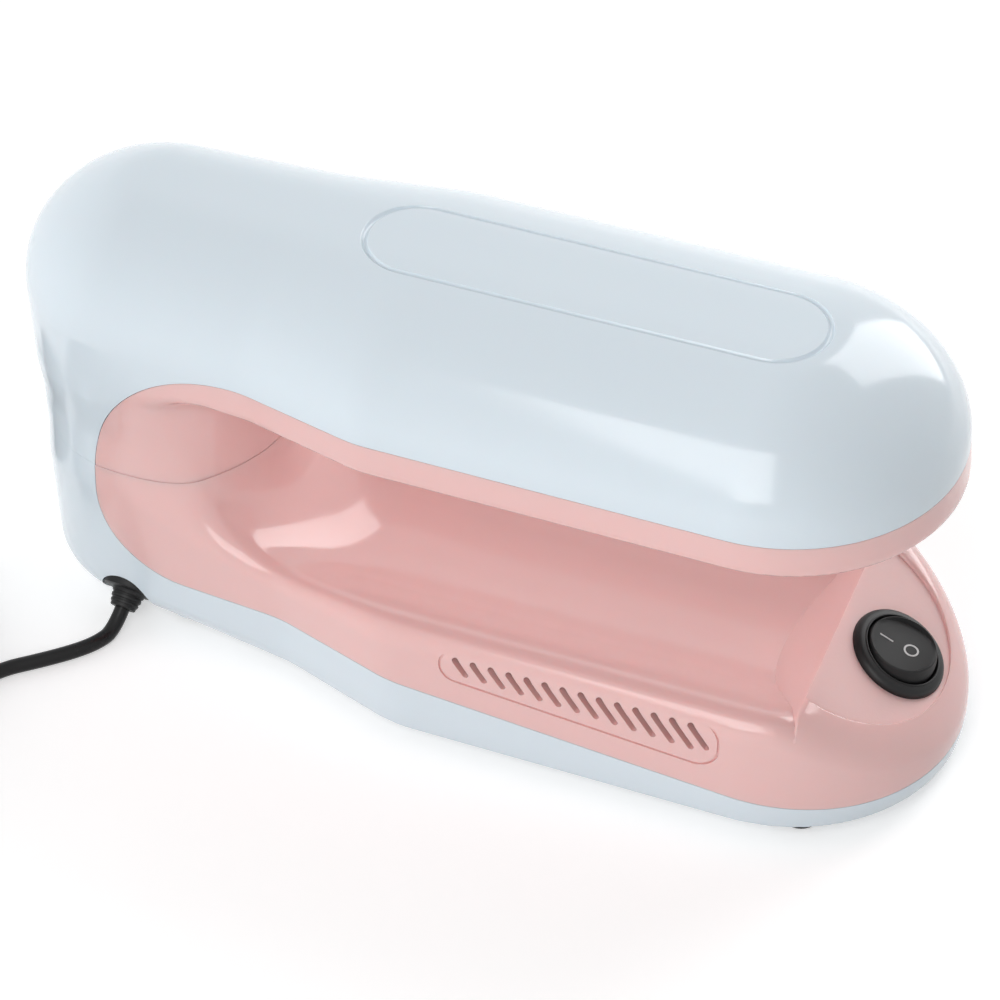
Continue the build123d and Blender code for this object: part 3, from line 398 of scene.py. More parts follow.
def contour(form, low, high, cell):
    """Meshes a form by dual contouring, which keeps its sharp edges. Gives corners and quads.

    The margin pulls a corner a little to the middle of its crossings and keeps it inside its cell.
    """
    margin = 0.02
    counts = [int(math.ceil((h - l) / cell)) + 1 for l, h in zip(low, high)]
    axes = [l + cell * np.arange(n) for l, n in zip(low, counts)]
    grid = np.stack(np.meshgrid(*axes, indexing="ij"), -1)
    value = form(grid.reshape(-1, 3)).reshape(counts)
    inside = value < 0
    shape = tuple(n - 1 for n in counts)
    total = int(np.prod(shape))
    matrix = np.zeros((total, 6))
    vector = np.zeros((total, 3))
    middle = np.zeros((total, 3))
    hits = np.zeros(total)
    crossings = []
    for axis in range(3):
        near = tuple(slice(0, -1) if k == axis else slice(None) for k in range(3))
        far = tuple(slice(1, None) if k == axis else slice(None) for k in range(3))
        places = np.argwhere(inside[near] != inside[far])
        a = tuple(places.T)
        shifted = places.copy()
        shifted[:, axis] += 1
        b = tuple(shifted.T)
        start, end = grid[a].copy(), grid[b].copy()
        start_value, end_value = value[a].copy(), value[b].copy()
        for _ in range(6):
            share = start_value / (start_value - end_value)
            point = start + (end - start) * share[:, None]
            point_value = form(point)
            same = (point_value < 0) == (start_value < 0)
            start[same], start_value[same] = point[same], point_value[same]
            end[~same], end_value[~same] = point[~same], point_value[~same]
        normal = steepest(form, point)
        first, second = [k for k in range(3) if k != axis]
        cells = []
        for i, j in ((-1, -1), (0, -1), (0, 0), (-1, 0)):
            at = places.copy()
            at[:, first] += i
            at[:, second] += j
            cells.append(np.ravel_multi_index(tuple(at.T), shape))
        pairs = ((0, 0), (0, 1), (0, 2), (1, 1), (1, 2), (2, 2))
        lean = (normal * point).sum(1)
        for index in cells:
            for k, (i, j) in enumerate(pairs):
                matrix[:, k] += np.bincount(index, normal[:, i] * normal[:, j], total)
            for k in range(3):
                vector[:, k] += np.bincount(index, normal[:, k] * lean, total)
                middle[:, k] += np.bincount(index, point[:, k], total)
            hits += np.bincount(index, minlength=total)
        turn = inside[a] if axis != 1 else ~inside[a]
        crossings.append(np.where(turn[:, None], np.stack(cells, 1), np.stack(cells[::-1], 1)))
    used = np.flatnonzero(hits)
    middle = middle[used] / hits[used][:, None]
    full = matrix[used][:, [0, 1, 2, 1, 3, 4, 2, 4, 5]].reshape(-1, 3, 3)
    pull = margin * hits[used][:, None, None] * np.eye(3)
    right = vector[used] - np.einsum("nij,nj->ni", full, middle)
    corner = middle + np.linalg.solve(full + pull, right[:, :, None])[:, :, 0]
    base = np.stack(np.unravel_index(used, shape), 1) * cell + np.array(low)
    corner = np.clip(corner, base + margin * cell, base + (1 - margin) * cell)
    order = np.full(total, -1)
    order[used] = np.arange(len(used))
    return corner, order[np.concatenate(crossings)]


def onto_curve(points, form, side):
    """Slides points over the form's surface until they lie where side is zero."""
    longest = 0.6
    for _ in range(5):
        normal = steepest(form, points)
        across = steepest(side, points)
        across -= (across * normal).sum(1, keepdims=True) * normal
        across /= np.maximum(np.linalg.norm(across, axis=1, keepdims=True), 1e-9)
        value = side(points)
        rate = (side(points + across * STEP) - value) / STEP
        points = points - across * np.clip(value / np.maximum(rate, LEAST_RATE), -longest, longest)[:, None]
        points = settle(form, points, 1)
    return points


def keep_side(points, faces, form, side, snap=0.3):
    """Keeps the triangles where side is negative, cut exactly along the curve where it is zero."""
    value = side(points)
    near = np.abs(value) < snap
    points = points.copy()
    if near.any():
        points[near] = onto_curve(points[near], form, side)
    value[near] = 0
    corner_value = value[faces]
    lowest, highest = corner_value.min(1), corner_value.max(1)
    flat = (lowest == 0) & (highest == 0)
    flat[flat] = side(points[faces[flat]].mean(1)) < 0
    whole = ((highest <= 0) & (lowest < 0)) | flat
    split = (lowest < 0) & (highest > 0)
    kept = faces[whole].tolist()
    pairs = {}
    for face in faces[split]:
        ring = []
        for i, j in zip(face, np.roll(face, -1)):
            if value[i] <= 0:
                ring.append(int(i))
            if value[i] * value[j] < 0:
                key = (min(i, j), max(i, j))
                ring.append(pairs.setdefault(key, len(points) + len(pairs)))
        kept += [[ring[0], ring[k], ring[k + 1]] for k in range(1, len(ring) - 1)]
    if pairs:
        ends = np.array(list(pairs))
        share = (value[ends[:, 0]] / (value[ends[:, 0]] - value[ends[:, 1]]))[:, None]
        fresh = points[ends[:, 0]] * (1 - share) + points[ends[:, 1]] * share
        points = np.concatenate([points, onto_curve(fresh, form, side)])
    kept = np.array(kept)
    used, order = np.unique(kept, return_inverse=True)
    return points[used], order.reshape(-1, 3)


def thicken(points, faces, form, wall, steps=4):
    """Gives an open skin its wall, inwards along the form's steepest direction, and closes its rim."""
    inner = points.copy()
    for _ in range(steps):
        inner = inner - steepest(form, inner) * wall / steps
    edges = np.concatenate([faces[:, [0, 1]], faces[:, [1, 2]], faces[:, [2, 0]]])
    count = len(points)
    forward = set(map(tuple, edges.tolist()))
    rim = np.array([[a, b] for a, b in forward if (b, a) not in forward])
    walls = np.concatenate([np.stack([rim[:, 1], rim[:, 0], rim[:, 0] + count], 1),
                            np.stack([rim[:, 1], rim[:, 0] + count, rim[:, 1] + count], 1)])
    return np.concatenate([points, inner]), np.concatenate([faces, faces[:, ::-1] + count, walls])


def triangles(points, quads):
    """Splits quads along their shorter diagonal."""
    first = np.linalg.norm(points[quads[:, 0]] - points[quads[:, 2]], axis=1)
    second = np.linalg.norm(points[quads[:, 1]] - points[quads[:, 3]], axis=1)
    flip = first > second
    even, odd = quads[~flip], quads[flip]
    return np.concatenate([even[:, [0, 1, 2]], even[:, [0, 2, 3]], odd[:, [0, 1, 3]], odd[:, [1, 2, 3]]])


def true_normals(obj, form):
    """Shades the corners that lie on the form by the form's own direction there.

    Beside a sharp edge that direction is read a little way into the face instead.
    """
    reach, into_share, into_most = 0.08, 0.35, 0.4
    sharp, least_match = math.radians(14), 0.75
    mesh = obj.data
    loops, polygons = len(mesh.loops), len(mesh.polygons)
    place = np.empty(len(mesh.vertices) * 3)
    mesh.vertices.foreach_get("co", place)
    place = place.reshape(-1, 3) / MM
    corner = np.empty(loops, dtype=int)
    mesh.loops.foreach_get("vertex_index", corner)
    sizes = np.empty(polygons, dtype=int)
    mesh.polygons.foreach_get("loop_total", sizes)
    face_normal = np.empty(polygons * 3)
    mesh.polygons.foreach_get("normal", face_normal)
    face_middle = np.empty(polygons * 3)
    mesh.polygons.foreach_get("center", face_middle)
    normal = np.empty(loops * 3)
    mesh.corner_normals.foreach_get("vector", normal)
    normal = normal.reshape(-1, 3)
    owner = np.repeat(np.arange(polygons), sizes)
    flat = face_normal.reshape(-1, 3)[owner]
    middle = face_middle.reshape(-1, 3)[owner] / MM
    on_form = (np.abs(form(place)) < reach)[corner]
    at_point = steepest(form, place)[corner]
    way = middle - place[corner]
    size = np.linalg.norm(way, axis=1, keepdims=True)
    beside = place[corner] + way * np.minimum(into_share, into_most / np.maximum(size, 1e-6))
    at_face = np.empty_like(at_point)
    picked = np.flatnonzero(on_form)
    at_face[picked] = steepest(form, beside[picked])
    calm = (at_point * at_face).sum(1) > math.cos(sharp)
    wanted = np.where(calm[:, None], at_point, at_face)
    good = on_form & ((wanted * flat).sum(1) > least_match)
    normal[good] = wanted[good]
    mesh.normals_split_custom_set(normal.tolist())


def add_solid(obj, points, faces):
    """Adds a closed solid, in millimetres, to the object's mesh."""
    mesh = bmesh.new()
    mesh.from_mesh(obj.data)
    corners = [mesh.verts.new(Vector(p) * MM) for p in points]
    made = [mesh.faces.new([corners[i] for i in face]) for face in faces]
    bmesh.ops.recalc_face_normals(mesh, faces=made)
    mesh.to_mesh(obj.data)
    mesh.free()


# Finishes

# Waves in a metre, so that the gloss of a moulding changes over about 17 mm
UNEVEN_GLOSS = 60.0


def surface_noise(tree, scale, low, high, detail=2.0):
    """A slow noise over the piece, mapped between two values."""
    place = add_node(tree, "ShaderNodeTexCoord")
    noise = add_node(tree, "ShaderNodeTexNoise", {"Vector": place.outputs["Object"], "Scale": scale,
                                                  "Detail": detail})
    spread = add_node(tree, "ShaderNodeMapRange", {"Value": noise.outputs["Fac"], "From Min": 0.3,
                                                   "From Max": 0.7, "To Min": low, "To Max": high})
    return spread.outputs["Result"]


def new_material(name):
    """An empty material with its output, its shader and its tree."""
    material = bpy.data.materials.new(name)
    material.use_nodes = True
    tree = material.node_tree
    tree.nodes.clear()
    shader = add_node(tree, "ShaderNodeBsdfPrincipled")
    add_node(tree, "ShaderNodeOutputMaterial", {"Surface": shader.outputs["BSDF"]})
    return material, tree, shader


def moulded(name, colour, gloss=(0.10, 0.16), grain=900.0, grain_height=0.000004, scatter=0.0,
            ior=1.52):
    """Injection moulded plastic: an even colour, a polished or grained skin and a little unevenness.

    Grain counts the bumps in a metre, so 900 lie about 1 mm apart. The real skin is finer, too fine to show.
    """
    material, tree, shader = new_material(name)
    shader.inputs["Base Color"].default_value = linear(colour)
    shader.inputs["IOR"].default_value = ior
    shader.inputs["Subsurface Weight"].default_value = scatter
    shader.inputs["Subsurface Radius"].default_value = (1.0, 0.4, 0.3)
    shader.inputs["Subsurface Scale"].default_value = 0.0025
    tree.links.new(surface_noise(tree, UNEVEN_GLOSS, *gloss), shader.inputs["Roughness"])
    height = surface_noise(tree, grain, 0.0, 1.0)
    bump = add_node(tree, "ShaderNodeBump", {"Height": height, "Strength": 0.3, "Distance": grain_height})
    tree.links.new(bump.outputs["Normal"], shader.inputs["Normal"])
    return material


def metal(name, colour, gloss=(0.18, 0.32), grain=1500.0, stretch=(1.0, 1.0, 1.0)):
    """Bare or plated metal: a mirror broken by fine marks, which stretch draws out along one direction.

    Grain counts the marks in a metre, so 1500 lie about 0.7 mm apart. The real ones are too fine to show.
    """
    material, tree, shader = new_material(name)
    shader.inputs["Base Color"].default_value = linear(colour)
    shader.inputs["Metallic"].default_value = 1.0
    place = add_node(tree, "ShaderNodeTexCoord")
    mapping = add_node(tree, "ShaderNodeMapping", {"Vector": place.outputs["Object"], "Scale": stretch})
    noise = add_node(tree, "ShaderNodeTexNoise", {"Vector": mapping.outputs["Vector"], "Scale": grain})
    rough = add_node(tree, "ShaderNodeMapRange", {"Value": noise.outputs["Fac"], "To Min": gloss[0],
                                                  "To Max": gloss[1]})
    bump = add_node(tree, "ShaderNodeBump", {"Height": noise.outputs["Fac"], "Strength": 0.2,
                                             "Distance": 0.000004})
    tree.links.new(rough.outputs["Result"], shader.inputs["Roughness"])
    tree.links.new(bump.outputs["Normal"], shader.inputs["Normal"])
    return material


def tube_glass(name):
    """Drawn glass tube, coated pale on the inside: even, milky and glossy."""
    material, tree, shader = new_material(name)
    place = add_node(tree, "ShaderNodeTexCoord")
    noise = add_node(tree, "ShaderNodeTexNoise", {"Vector": place.outputs["Object"], "Scale": 220.0,
                                                  "Detail": 3.0})
    tint = add_node(tree, "ShaderNodeMix", {"Factor": noise.outputs["Fac"]}, data_type="RGBA")
    tint.inputs["A"].default_value = linear("#E9ECF3")
    tint.inputs["B"].default_value = linear("#F6F7FA")
    tree.links.new(tint.outputs["Result"], shader.inputs["Base Color"])
    shader.inputs["Roughness"].default_value = 0.12
    shader.inputs["Coat Weight"].default_value = 0.6
    return material


def circuit_board(name):
    """Pressed phenolic board: tan, slightly mottled, with a dull waxy surface."""
    material, tree, shader = new_material(name)
    place = add_node(tree, "ShaderNodeTexCoord")
    noise = add_node(tree, "ShaderNodeTexNoise", {"Vector": place.outputs["Object"], "Scale": 700.0,
                                                  "Detail": 6.0})
    tint = add_node(tree, "ShaderNodeMix", {"Factor": noise.outputs["Fac"]}, data_type="RGBA")
    tint.inputs["A"].default_value = linear("#A9793F")
    tint.inputs["B"].default_value = linear("#C39A5C")
    tree.links.new(tint.outputs["Result"], shader.inputs["Base Color"])
    shader.inputs["Roughness"].default_value = 0.55
    return material


def finishes(colours):
    """One finish for each material slot of the record."""
    white, pink, black = colours.white, colours.pink, colours.black
    return {
        # A polished tool leaves a skin that mirrors the softboxes, with a faint depth under it
        "white_abs": moulded("White ABS, polished moulding", white, scatter=0.06),
        # The same skin on a tinted plastic, where light goes deeper and warms the shaded sides
        "pink_abs": moulded("Pink ABS, polished moulding", pink, scatter=0.3),
        # Rolling draws the mirror of the sheet out along its length
        "reflector": metal("Bright rolled aluminium sheet", "#DADDE0", (0.10, 0.2), 900.0, (1.0, 12.0, 1.0)),
        # The coating behind the glass makes it milky under a clear shine
        "uv_glass": tube_glass("Coated lamp tube glass"),
        # A tool that isn't polished leaves a wide, soft sheen
        "cap_white": moulded("White polycarbonate lamp cap", "#E8E8E4", (0.3, 0.4)),
        # Turning leaves the yellow metal bright, with fine marks
        "pin_brass": metal("Turned brass lamp pins", "#D2B36A"),
        # A filled plastic looks off-white and almost without shine
        "holder_white": moulded("White PBT lamp holder", "#E4E3DC", (0.38, 0.48)),
        # A fine eroded grain turns the black into a soft grey sheen
        "switch_black": moulded("Black nylon switch body", black, (0.42, 0.5), 2200.0, 0.00001, ior=1.4),
        # The same grain, duller than the bezel round it
        "rocker_black": moulded("Black polycarbonate rocker", black, (0.54, 0.62), 2200.0, 0.00001,
                                ior=1.4),
        # Thin silver looks pale, a little yellow and softly mirrored
        "terminal_metal": metal("Silver plated terminals", "#C9C6BE"),
        # Zinc gives a cool grey with a broken satin shine
        "screw_steel": metal("Zinc plated steel screws", "#A9ABAE", (0.25, 0.4), 2500.0),
        # Pressed rubber is dark grey and shows no clear highlight
        "foot_rubber": moulded("Black rubber feet", "#2A2A2B", (0.65, 0.8), 3000.0, 0.00002),
        # Pressed paper and resin look tan, mottled and waxy
        "board": circuit_board("Phenolic circuit board"),
        # The wound tape is an even yellow with a dull gloss
        "choke_core": moulded("Yellow taped choke", "#D9B44A", (0.35, 0.5)),
        # The shrunk sleeve is dark blue and glossy
        "capacitor_case": moulded("Sleeved capacitor cases", "#2B3A5E", (0.22, 0.3)),
        # Moulded epoxy is black and slightly chalky
        "transistor_case": moulded("Black epoxy transistors", "#1B1B1C", (0.4, 0.5)),
        # Drawing through a die leaves the jacket smooth, with a long soft highlight
        "cord_black": moulded("Black PVC lead, extruded", black, (0.26, 0.34), 2600.0, 0.00001, ior=1.35),
        # Thin insulation is a clean white with a soft gloss
        "lead_white": moulded("White PVC wire", "#E9E9E6", (0.35, 0.45)),
        # The coat over the wire is black with a soft gloss
        "tie_black": moulded("Black coated wire tie", "#1A1A1A", (0.4, 0.5)),
        # A finely grained tool makes the plug a dull black
        "plug_black": moulded("Black PVC moulded plug", "#161617", (0.34, 0.46), 2400.0, 0.000015,
                              ior=1.4),
        # Nickel is a cool, nearly sharp mirror
        "pin_nickel": metal("Nickel plated plug pins", "#CBCCCD", (0.12, 0.22)),
    }


FINISH = {}


def finish_of(slot):
    """The finish of a slot, made once."""
    if not FINISH:
        FINISH.update(finishes(bpy.context.scene.nail_lamp_colour))
    return FINISH[slot]


def dress(obj, slot, *nodes, body="lamp"):
    """Gives a new piece its finish, hangs it under its body and hides the modelled nodes it stands for."""
    if not obj.data.materials:
        obj.data.materials.append(finish_of(slot))
    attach(obj, body)
    if nodes:
        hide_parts(*nodes)
    return obj


# Shells

def place_of(origin, x_axis, z_axis):
    """A matrix whose z axis is z_axis, in millimetres."""
    x_axis, z_axis = Vector(x_axis).normalized(), Vector(z_axis).normalized()
    y_axis = z_axis.cross(x_axis)
    turned = Matrix((x_axis, y_axis, z_axis)).transposed().to_4x4()
    return Matrix.Translation(Vector(origin)) @ turned


# The switch's seat is sunk into the slope
SWITCH_X, RECESS = 89.9, 1.0
SWITCH_Z = DECK_Z - (SWITCH_X - SLOPE_X) * math.tan(DECK_SLOPE) - RECESS / math.cos(DECK_SLOPE)
SWITCH_PLACE = place_of((SWITCH_X, 0, SWITCH_Z), (math.cos(DECK_SLOPE), 0, -math.sin(DECK_SLOPE)),
                        (math.sin(DECK_SLOPE), 0, math.cos(DECK_SLOPE)))

# The bushing sits low on the column and points outwards and down
GLAND_ANGLE, GLAND_DOWN = math.radians(266.0), math.radians(35.0)
GLAND_RADIUS, GLAND_Z = 23.4, 8.5
GLAND_OUT = Vector((math.cos(GLAND_ANGLE) * math.cos(GLAND_DOWN),
                    math.sin(GLAND_ANGLE) * math.cos(GLAND_DOWN), -math.sin(GLAND_DOWN)))
GLAND_SEAT = Vector((COLUMN_X + GLAND_RADIUS * math.cos(GLAND_ANGLE), GLAND_RADIUS * math.sin(GLAND_ANGLE),
                     GLAND_Z))
GLAND_PLACE = place_of(GLAND_SEAT, (-math.sin(GLAND_ANGLE), math.cos(GLAND_ANGLE), 0), GLAND_OUT)

# Screw posts, feet and hood screws, and the radii of their holes
POSTS = ((48.0, 31.0), (48.0, -31.0), (-65.5, 20.4), (-65.5, -20.4))
FEET = ((79.0, 29.0), (79.0, -29.0), (-84.0, 11.0), (-84.0, -11.0))
HOOD_SCREWS = ((80.0, 26.5), (80.0, -26.5), (-24.0, 29.0), (-24.0, -29.0))
FOOT_HOLE, POST_HOLE, HOOD_SCREW_HOLE, GLAND_HOLE, HOUSING_HOLE = 4.6, 3.7, 1.7, 6.4, 10.05
POST_FOOT, POST_SEAT, POST_TOP, POST_BORE = FLOOR_Z + 0.02, 7.2, 15.1, 1.7

# Slots with round ends: half width, rear end and front end. The groove's section is half width and height
WINDOW = (24.0, -34.0, 92.0)
TRACK = (11.0, -28.9, 69.6)
TRACK_SECTION = ((1.1, 2.0), (1.1, 0.05), (0.85, 0.0), (0.68, -0.1), (0.5, -0.4), (0.28, -0.66), (0.0, -0.75))

# The line round the vents: its corners with their radii, its width, its floor and where its cutter ends
FRAME_CORNERS = ((1.4, 22.2, 3.9), (63.6, 17.16, 5.5), (63.6, 30.4, 5.5), (1.4, 30.4, 3.9))
FRAME_WIDTH, FRAME_Y, PAST_SIDE_Y = 0.55, 38.65, 44.0

# The half moon round the switch: its middle, its radius, where it stops before the crease, and its flared lip
MOON_X, MOON_RADIUS, MOON_STOP = 77.3, 26.1, 3.0
MOON_LIP = ((0.0, 0.0), (0.35, 0.03), (0.6, 0.16), (0.82, 0.42), (0.96, 0.8), (1.1, 1.5), (12.0, 9.0))

# Half the gap between the white shells, and the lip that stands behind the column's seam
HAIRLINE = 0.02
LIP_DEPTH, LIP_WALL, LIP_UNDER, LIP_BELOW_TOP = 0.25, 1.0, 0.5, 0.02
UPRIGHT = Matrix(((1, 0, 0, 0), (0, 0, -1, 0), (0, 1, 0, 0), (0, 0, 0, 1)))

# The space that is meshed, from its lowest to its highest corner
MESHED_SPACE = (-108.0, -42.03, 1.0), (107.5, 42.03, 107.0)

# Vents, in metres: how deep their cutters go, where the first one starts and how far the other side lies
VENT_DEPTH, FIRST_VENT, OTHER_SIDE = 0.011, (0.00514, -0.034, 0.028), 0.079


def vent_cutter(shell):
    """The slanted slots of both sides as one object, made as a geometry node group."""
    group = bpy.data.node_groups.new("Vent slots", "GeometryNodeTree")
    group.is_modifier = True
    group.interface.new_socket("Geometry", in_out="INPUT", socket_type="NodeSocketGeometry")
    for name, kind, value in (("Count", "NodeSocketInt", 14), ("Width", "NodeSocketFloat", 0.0015),
                              ("Pitch", "NodeSocketFloat", 0.004),
                              ("First length", "NodeSocketFloat", 0.0039),
                              ("Growth", "NodeSocketFloat", 0.00027),
                              ("Last shorter", "NodeSocketFloat", 0.00136),
                              ("Lean", "NodeSocketFloat", math.radians(36)),
                              ("Material", "NodeSocketMaterial", None)):
        socket = group.interface.new_socket(name, in_out="INPUT", socket_type=kind)
        if value is not None:
            socket.default_value = value
    group.interface.new_socket("Geometry", in_out="OUTPUT", socket_type="NodeSocketGeometry")
    given = add_node(group, "NodeGroupInput").outputs
    radius = add_node(group, "ShaderNodeMath", {0: given["Width"], 1: 2.0}, operation="DIVIDE").outputs[0]
    disc = add_node(group, "GeometryNodeMeshCircle", {"Vertices": 24, "Radius": radius}, fill_type="NGON")
    position = add_node(group, "GeometryNodeInputPosition").outputs[0]
    parts = add_node(group, "ShaderNodeSeparateXYZ", {"Vector": position}).outputs
    low = add_node(group, "FunctionNodeCompare", {"A": parts["Y"], "B": -0.00001}, data_type="FLOAT",
                   operation="LESS_THAN").outputs[0]
    marked = add_node(group, "GeometryNodeStoreNamedAttribute", {"Geometry": disc.outputs[0], "Name": "low",
                                                                 "Value": low},
                      data_type="BOOLEAN", domain="POINT").outputs[0]
    down = add_node(group, "ShaderNodeMath", {0: given["First length"], 1: -1.0},
                    operation="MULTIPLY").outputs[0]
    drop = add_node(group, "ShaderNodeCombineXYZ", {"Y": down}).outputs[0]
    long_disc = add_node(group, "GeometryNodeSetPosition", {"Geometry": marked, "Selection": low,
                                                            "Offset": drop})
    deep = add_node(group, "GeometryNodeExtrudeMesh", {"Mesh": long_disc.outputs[0],
                                                       "Offset Scale": VENT_DEPTH,
                                                       "Individual": False}, mode="FACES")
    back = add_node(group, "GeometryNodeFlipFaces", {"Mesh": long_disc.outputs[0]})
    closed = add_node(group, "GeometryNodeJoinGeometry")
    group.links.new(back.outputs[0], closed.inputs[0])
    group.links.new(deep.outputs["Mesh"], closed.inputs[0])
    slot = add_node(group, "GeometryNodeMergeByDistance", {"Geometry": closed.outputs[0], "Distance": 1e-6})
    step = add_node(group, "ShaderNodeCombineXYZ", {"X": given["Pitch"]}).outputs[0]
    row = add_node(group, "GeometryNodeMeshLine", {"Count": given["Count"], "Offset": step,
                                                   "Start Location": FIRST_VENT})
    index = add_node(group, "GeometryNodeInputIndex").outputs[0]
    counted = add_node(group, "GeometryNodeStoreNamedAttribute", {"Geometry": row.outputs[0], "Name": "slot",
                                                                  "Value": index},
                       data_type="FLOAT", domain="POINT").outputs[0]
    back_lean = add_node(group, "ShaderNodeMath", {0: given["Lean"], 1: -1.0},
                         operation="MULTIPLY").outputs[0]
    turn = add_node(group, "ShaderNodeCombineXYZ", {"X": math.pi / 2, "Y": back_lean}).outputs[0]
    spread = add_node(group, "GeometryNodeInstanceOnPoints", {"Points": counted, "Instance": slot.outputs[0],
                                                              "Rotation": turn})
    real = add_node(group, "GeometryNodeRealizeInstances", {"Geometry": spread.outputs[0]})
    is_low = add_node(group, "GeometryNodeInputNamedAttribute", {"Name": "low"},
                      data_type="BOOLEAN").outputs[0]
    which = add_node(group, "GeometryNodeInputNamedAttribute", {"Name": "slot"}, data_type="FLOAT").outputs[0]
    grown = add_node(group, "ShaderNodeMath", {0: which, 1: given["Growth"]}, operation="MULTIPLY").outputs[0]
    final = add_node(group, "ShaderNodeMath", {0: given["Count"], 1: 1.5}, operation="SUBTRACT").outputs[0]
    is_last = add_node(group, "ShaderNodeMath", {0: which, 1: final}, operation="GREATER_THAN").outputs[0]
    less = add_node(group, "ShaderNodeMath", {0: is_last, 1: given["Last shorter"]},
                    operation="MULTIPLY").outputs[0]
    extra = add_node(group, "ShaderNodeMath", {0: grown, 1: less}, operation="SUBTRACT").outputs[0]
    sine = add_node(group, "ShaderNodeMath", {0: given["Lean"]}, operation="SINE").outputs[0]
    cosine = add_node(group, "ShaderNodeMath", {0: given["Lean"]}, operation="COSINE").outputs[0]
    fall = add_node(group, "ShaderNodeMath", {0: cosine, 1: -1.0}, operation="MULTIPLY").outputs[0]
    way = add_node(group, "ShaderNodeCombineXYZ", {"X": sine, "Z": fall}).outputs[0]
    more = add_node(group, "ShaderNodeVectorMath", {0: way, "Scale": extra}, operation="SCALE").outputs[0]
    near_side = add_node(group, "GeometryNodeSetPosition", {"Geometry": real.outputs[0], "Selection": is_low,
                                                            "Offset": more})
    far_side = add_node(group, "GeometryNodeTransform", {"Geometry": near_side.outputs[0],
                                                         "Translation": (0, OTHER_SIDE, 0)})
    both = add_node(group, "GeometryNodeJoinGeometry")
    group.links.new(near_side.outputs[0], both.inputs[0])
    group.links.new(far_side.outputs[0], both.inputs[0])
    painted = add_node(group, "GeometryNodeSetMaterial", {"Geometry": both.outputs[0],
                                                          "Material": given["Material"]})
    add_node(group, "NodeGroupOutput", {"Geometry": painted.outputs[0]})
    cutter = new_object("vent_slots", [], [], smooth=False)
    modifier = cutter.modifiers.new("slots", "NODES")
    modifier.node_group = group
    wanted = {"Count": shell.vent_count, "Width": shell.vent_width, "Material": finish_of("pink_abs")}
    for item in group.interface.items_tree:
        if item.in_out == "INPUT" and item.name in wanted:
            modifier[item.identifier] = wanted[item.name]
    apply_modifiers(cutter)
    return cutter


def screw_tube(x, y, low, seat, high, bore, outside=4.3, head=3.2):
    """A screw post seen from below: a wide bore for the head, a seat, and a narrow bore above it."""
    section = (outside, low), (outside, high), (bore, high), (bore, seat), (head, seat), (head, low)
    return ring_of([(circle_outline(radius, 40, (x, y)), level) for radius, level in section])


def rounded_frame(inset):
    """The outline round the side vents, seen from the side."""
    points = []
    middle = [(x, z) for x, z, _ in FRAME_CORNERS]
    for k, (x, z, radius) in enumerate(FRAME_CORNERS):
        here = Vector((x, z))
        before = (Vector(middle[k - 1]) - here).normalized()
        after = (Vector(middle[(k + 1) % 4]) - here).normalized()
        half = before.angle(after) / 2
        centre = here + (before + after).normalized() * (radius / math.sin(half))
        start = here + before * (radius / math.tan(half)) - centre
        sweep = math.pi - 2 * half
        for step in range(13):
            turned = Matrix.Rotation(sweep * step / 12, 2) @ start
            points.append(centre + turned * ((radius - inset) / radius))
    return [(p.x, p.y) for p in points]


def shell_object(name, skin, form, wall, slot):
    """One moulded shell from its outer skin."""
    points, faces = thicken(*skin, form, wall)
    return new_object(name, points * MM, faces, finish_of(slot))


def under(level):
    """The side below a height."""
    return lambda p: p[:, 2] - level


def over(level):
    """The side above a height."""
    return lambda p: level - p[:, 2]


def cut_cover(cover):
    """Cuts the racetrack groove round the dome's flat top."""
    half_width, rear, front = TRACK
    section = [*TRACK_SECTION, *((-half, depth) for half, depth in TRACK_SECTION[-2::-1])]
    rings = [(slot_outline(half_width + half, rear - half, front + half, 48), TOP_Z + depth)
             for half, depth in section]
    cut(cover, joined("track", [ring_of(rings)]))


def cut_liner(liner):
    """Cuts the lamp window and the screw holes through the hood's underside."""
    levels = RIM_Z - 1, RIM_Z + 4
    holes = [prism(slot_outline(*WINDOW), *levels)]
    holes += [prism(circle_outline(HOOD_SCREW_HOLE, 32, place), *levels) for place in HOOD_SCREWS]
    cut(liner, joined("window", holes))


def cut_base(base, shell):
    """Cuts the vents and the line round them, the switch's half moon and its hole."""
    cut(base, vent_cutter(shell))
    outside, inside = rounded_frame(0.0), rounded_frame(FRAME_WIDTH)
    near = Matrix.Translation((0, -FRAME_Y, 0)) @ UPRIGHT
    far = Matrix.Translation((0, PAST_SIDE_Y, 0)) @ UPRIGHT
    cut(base, joined("groove", [ring_prism(outside, inside, 0, 6, near),
                                ring_prism(outside, inside, 0, PAST_SIDE_Y - FRAME_Y, far)]))
    crease = (CREASE_X - SWITCH_X) / math.cos(DECK_SLOPE) - MOON_STOP
    moon_x = (MOON_X - SWITCH_X) / math.cos(DECK_SLOPE)
    moons = []
    for level, out in MOON_LIP:
        radius = MOON_RADIUS + out
        reach = math.acos((crease - moon_x) / radius)
        moons.append(([(moon_x + radius * math.cos(a), radius * math.sin(a))
                       for a in np.linspace(-reach, reach, 97)], level))
    cut(base, joined("recess", [stacked(moons, SWITCH_PLACE)]))
    cut(base, joined("hole", [prism(circle_outline(HOUSING_HOLE, 96), -8, 8, SWITCH_PLACE)]))


def add_lip(base, skin, form, groove):
    """Stands a sunk lip on the base cover, which closes the column's seam from behind."""
    def sunk(p):
        return form(p) + LIP_DEPTH

    below = keep_side(*skin, form, under(SEAM_Z + groove - LIP_BELOW_TOP))
    points, faces = keep_side(*below, form, over(SEAM_Z - groove - LIP_UNDER))
    add_solid(base, *thicken(settle(sunk, points, 4), faces, sunk, LIP_WALL))


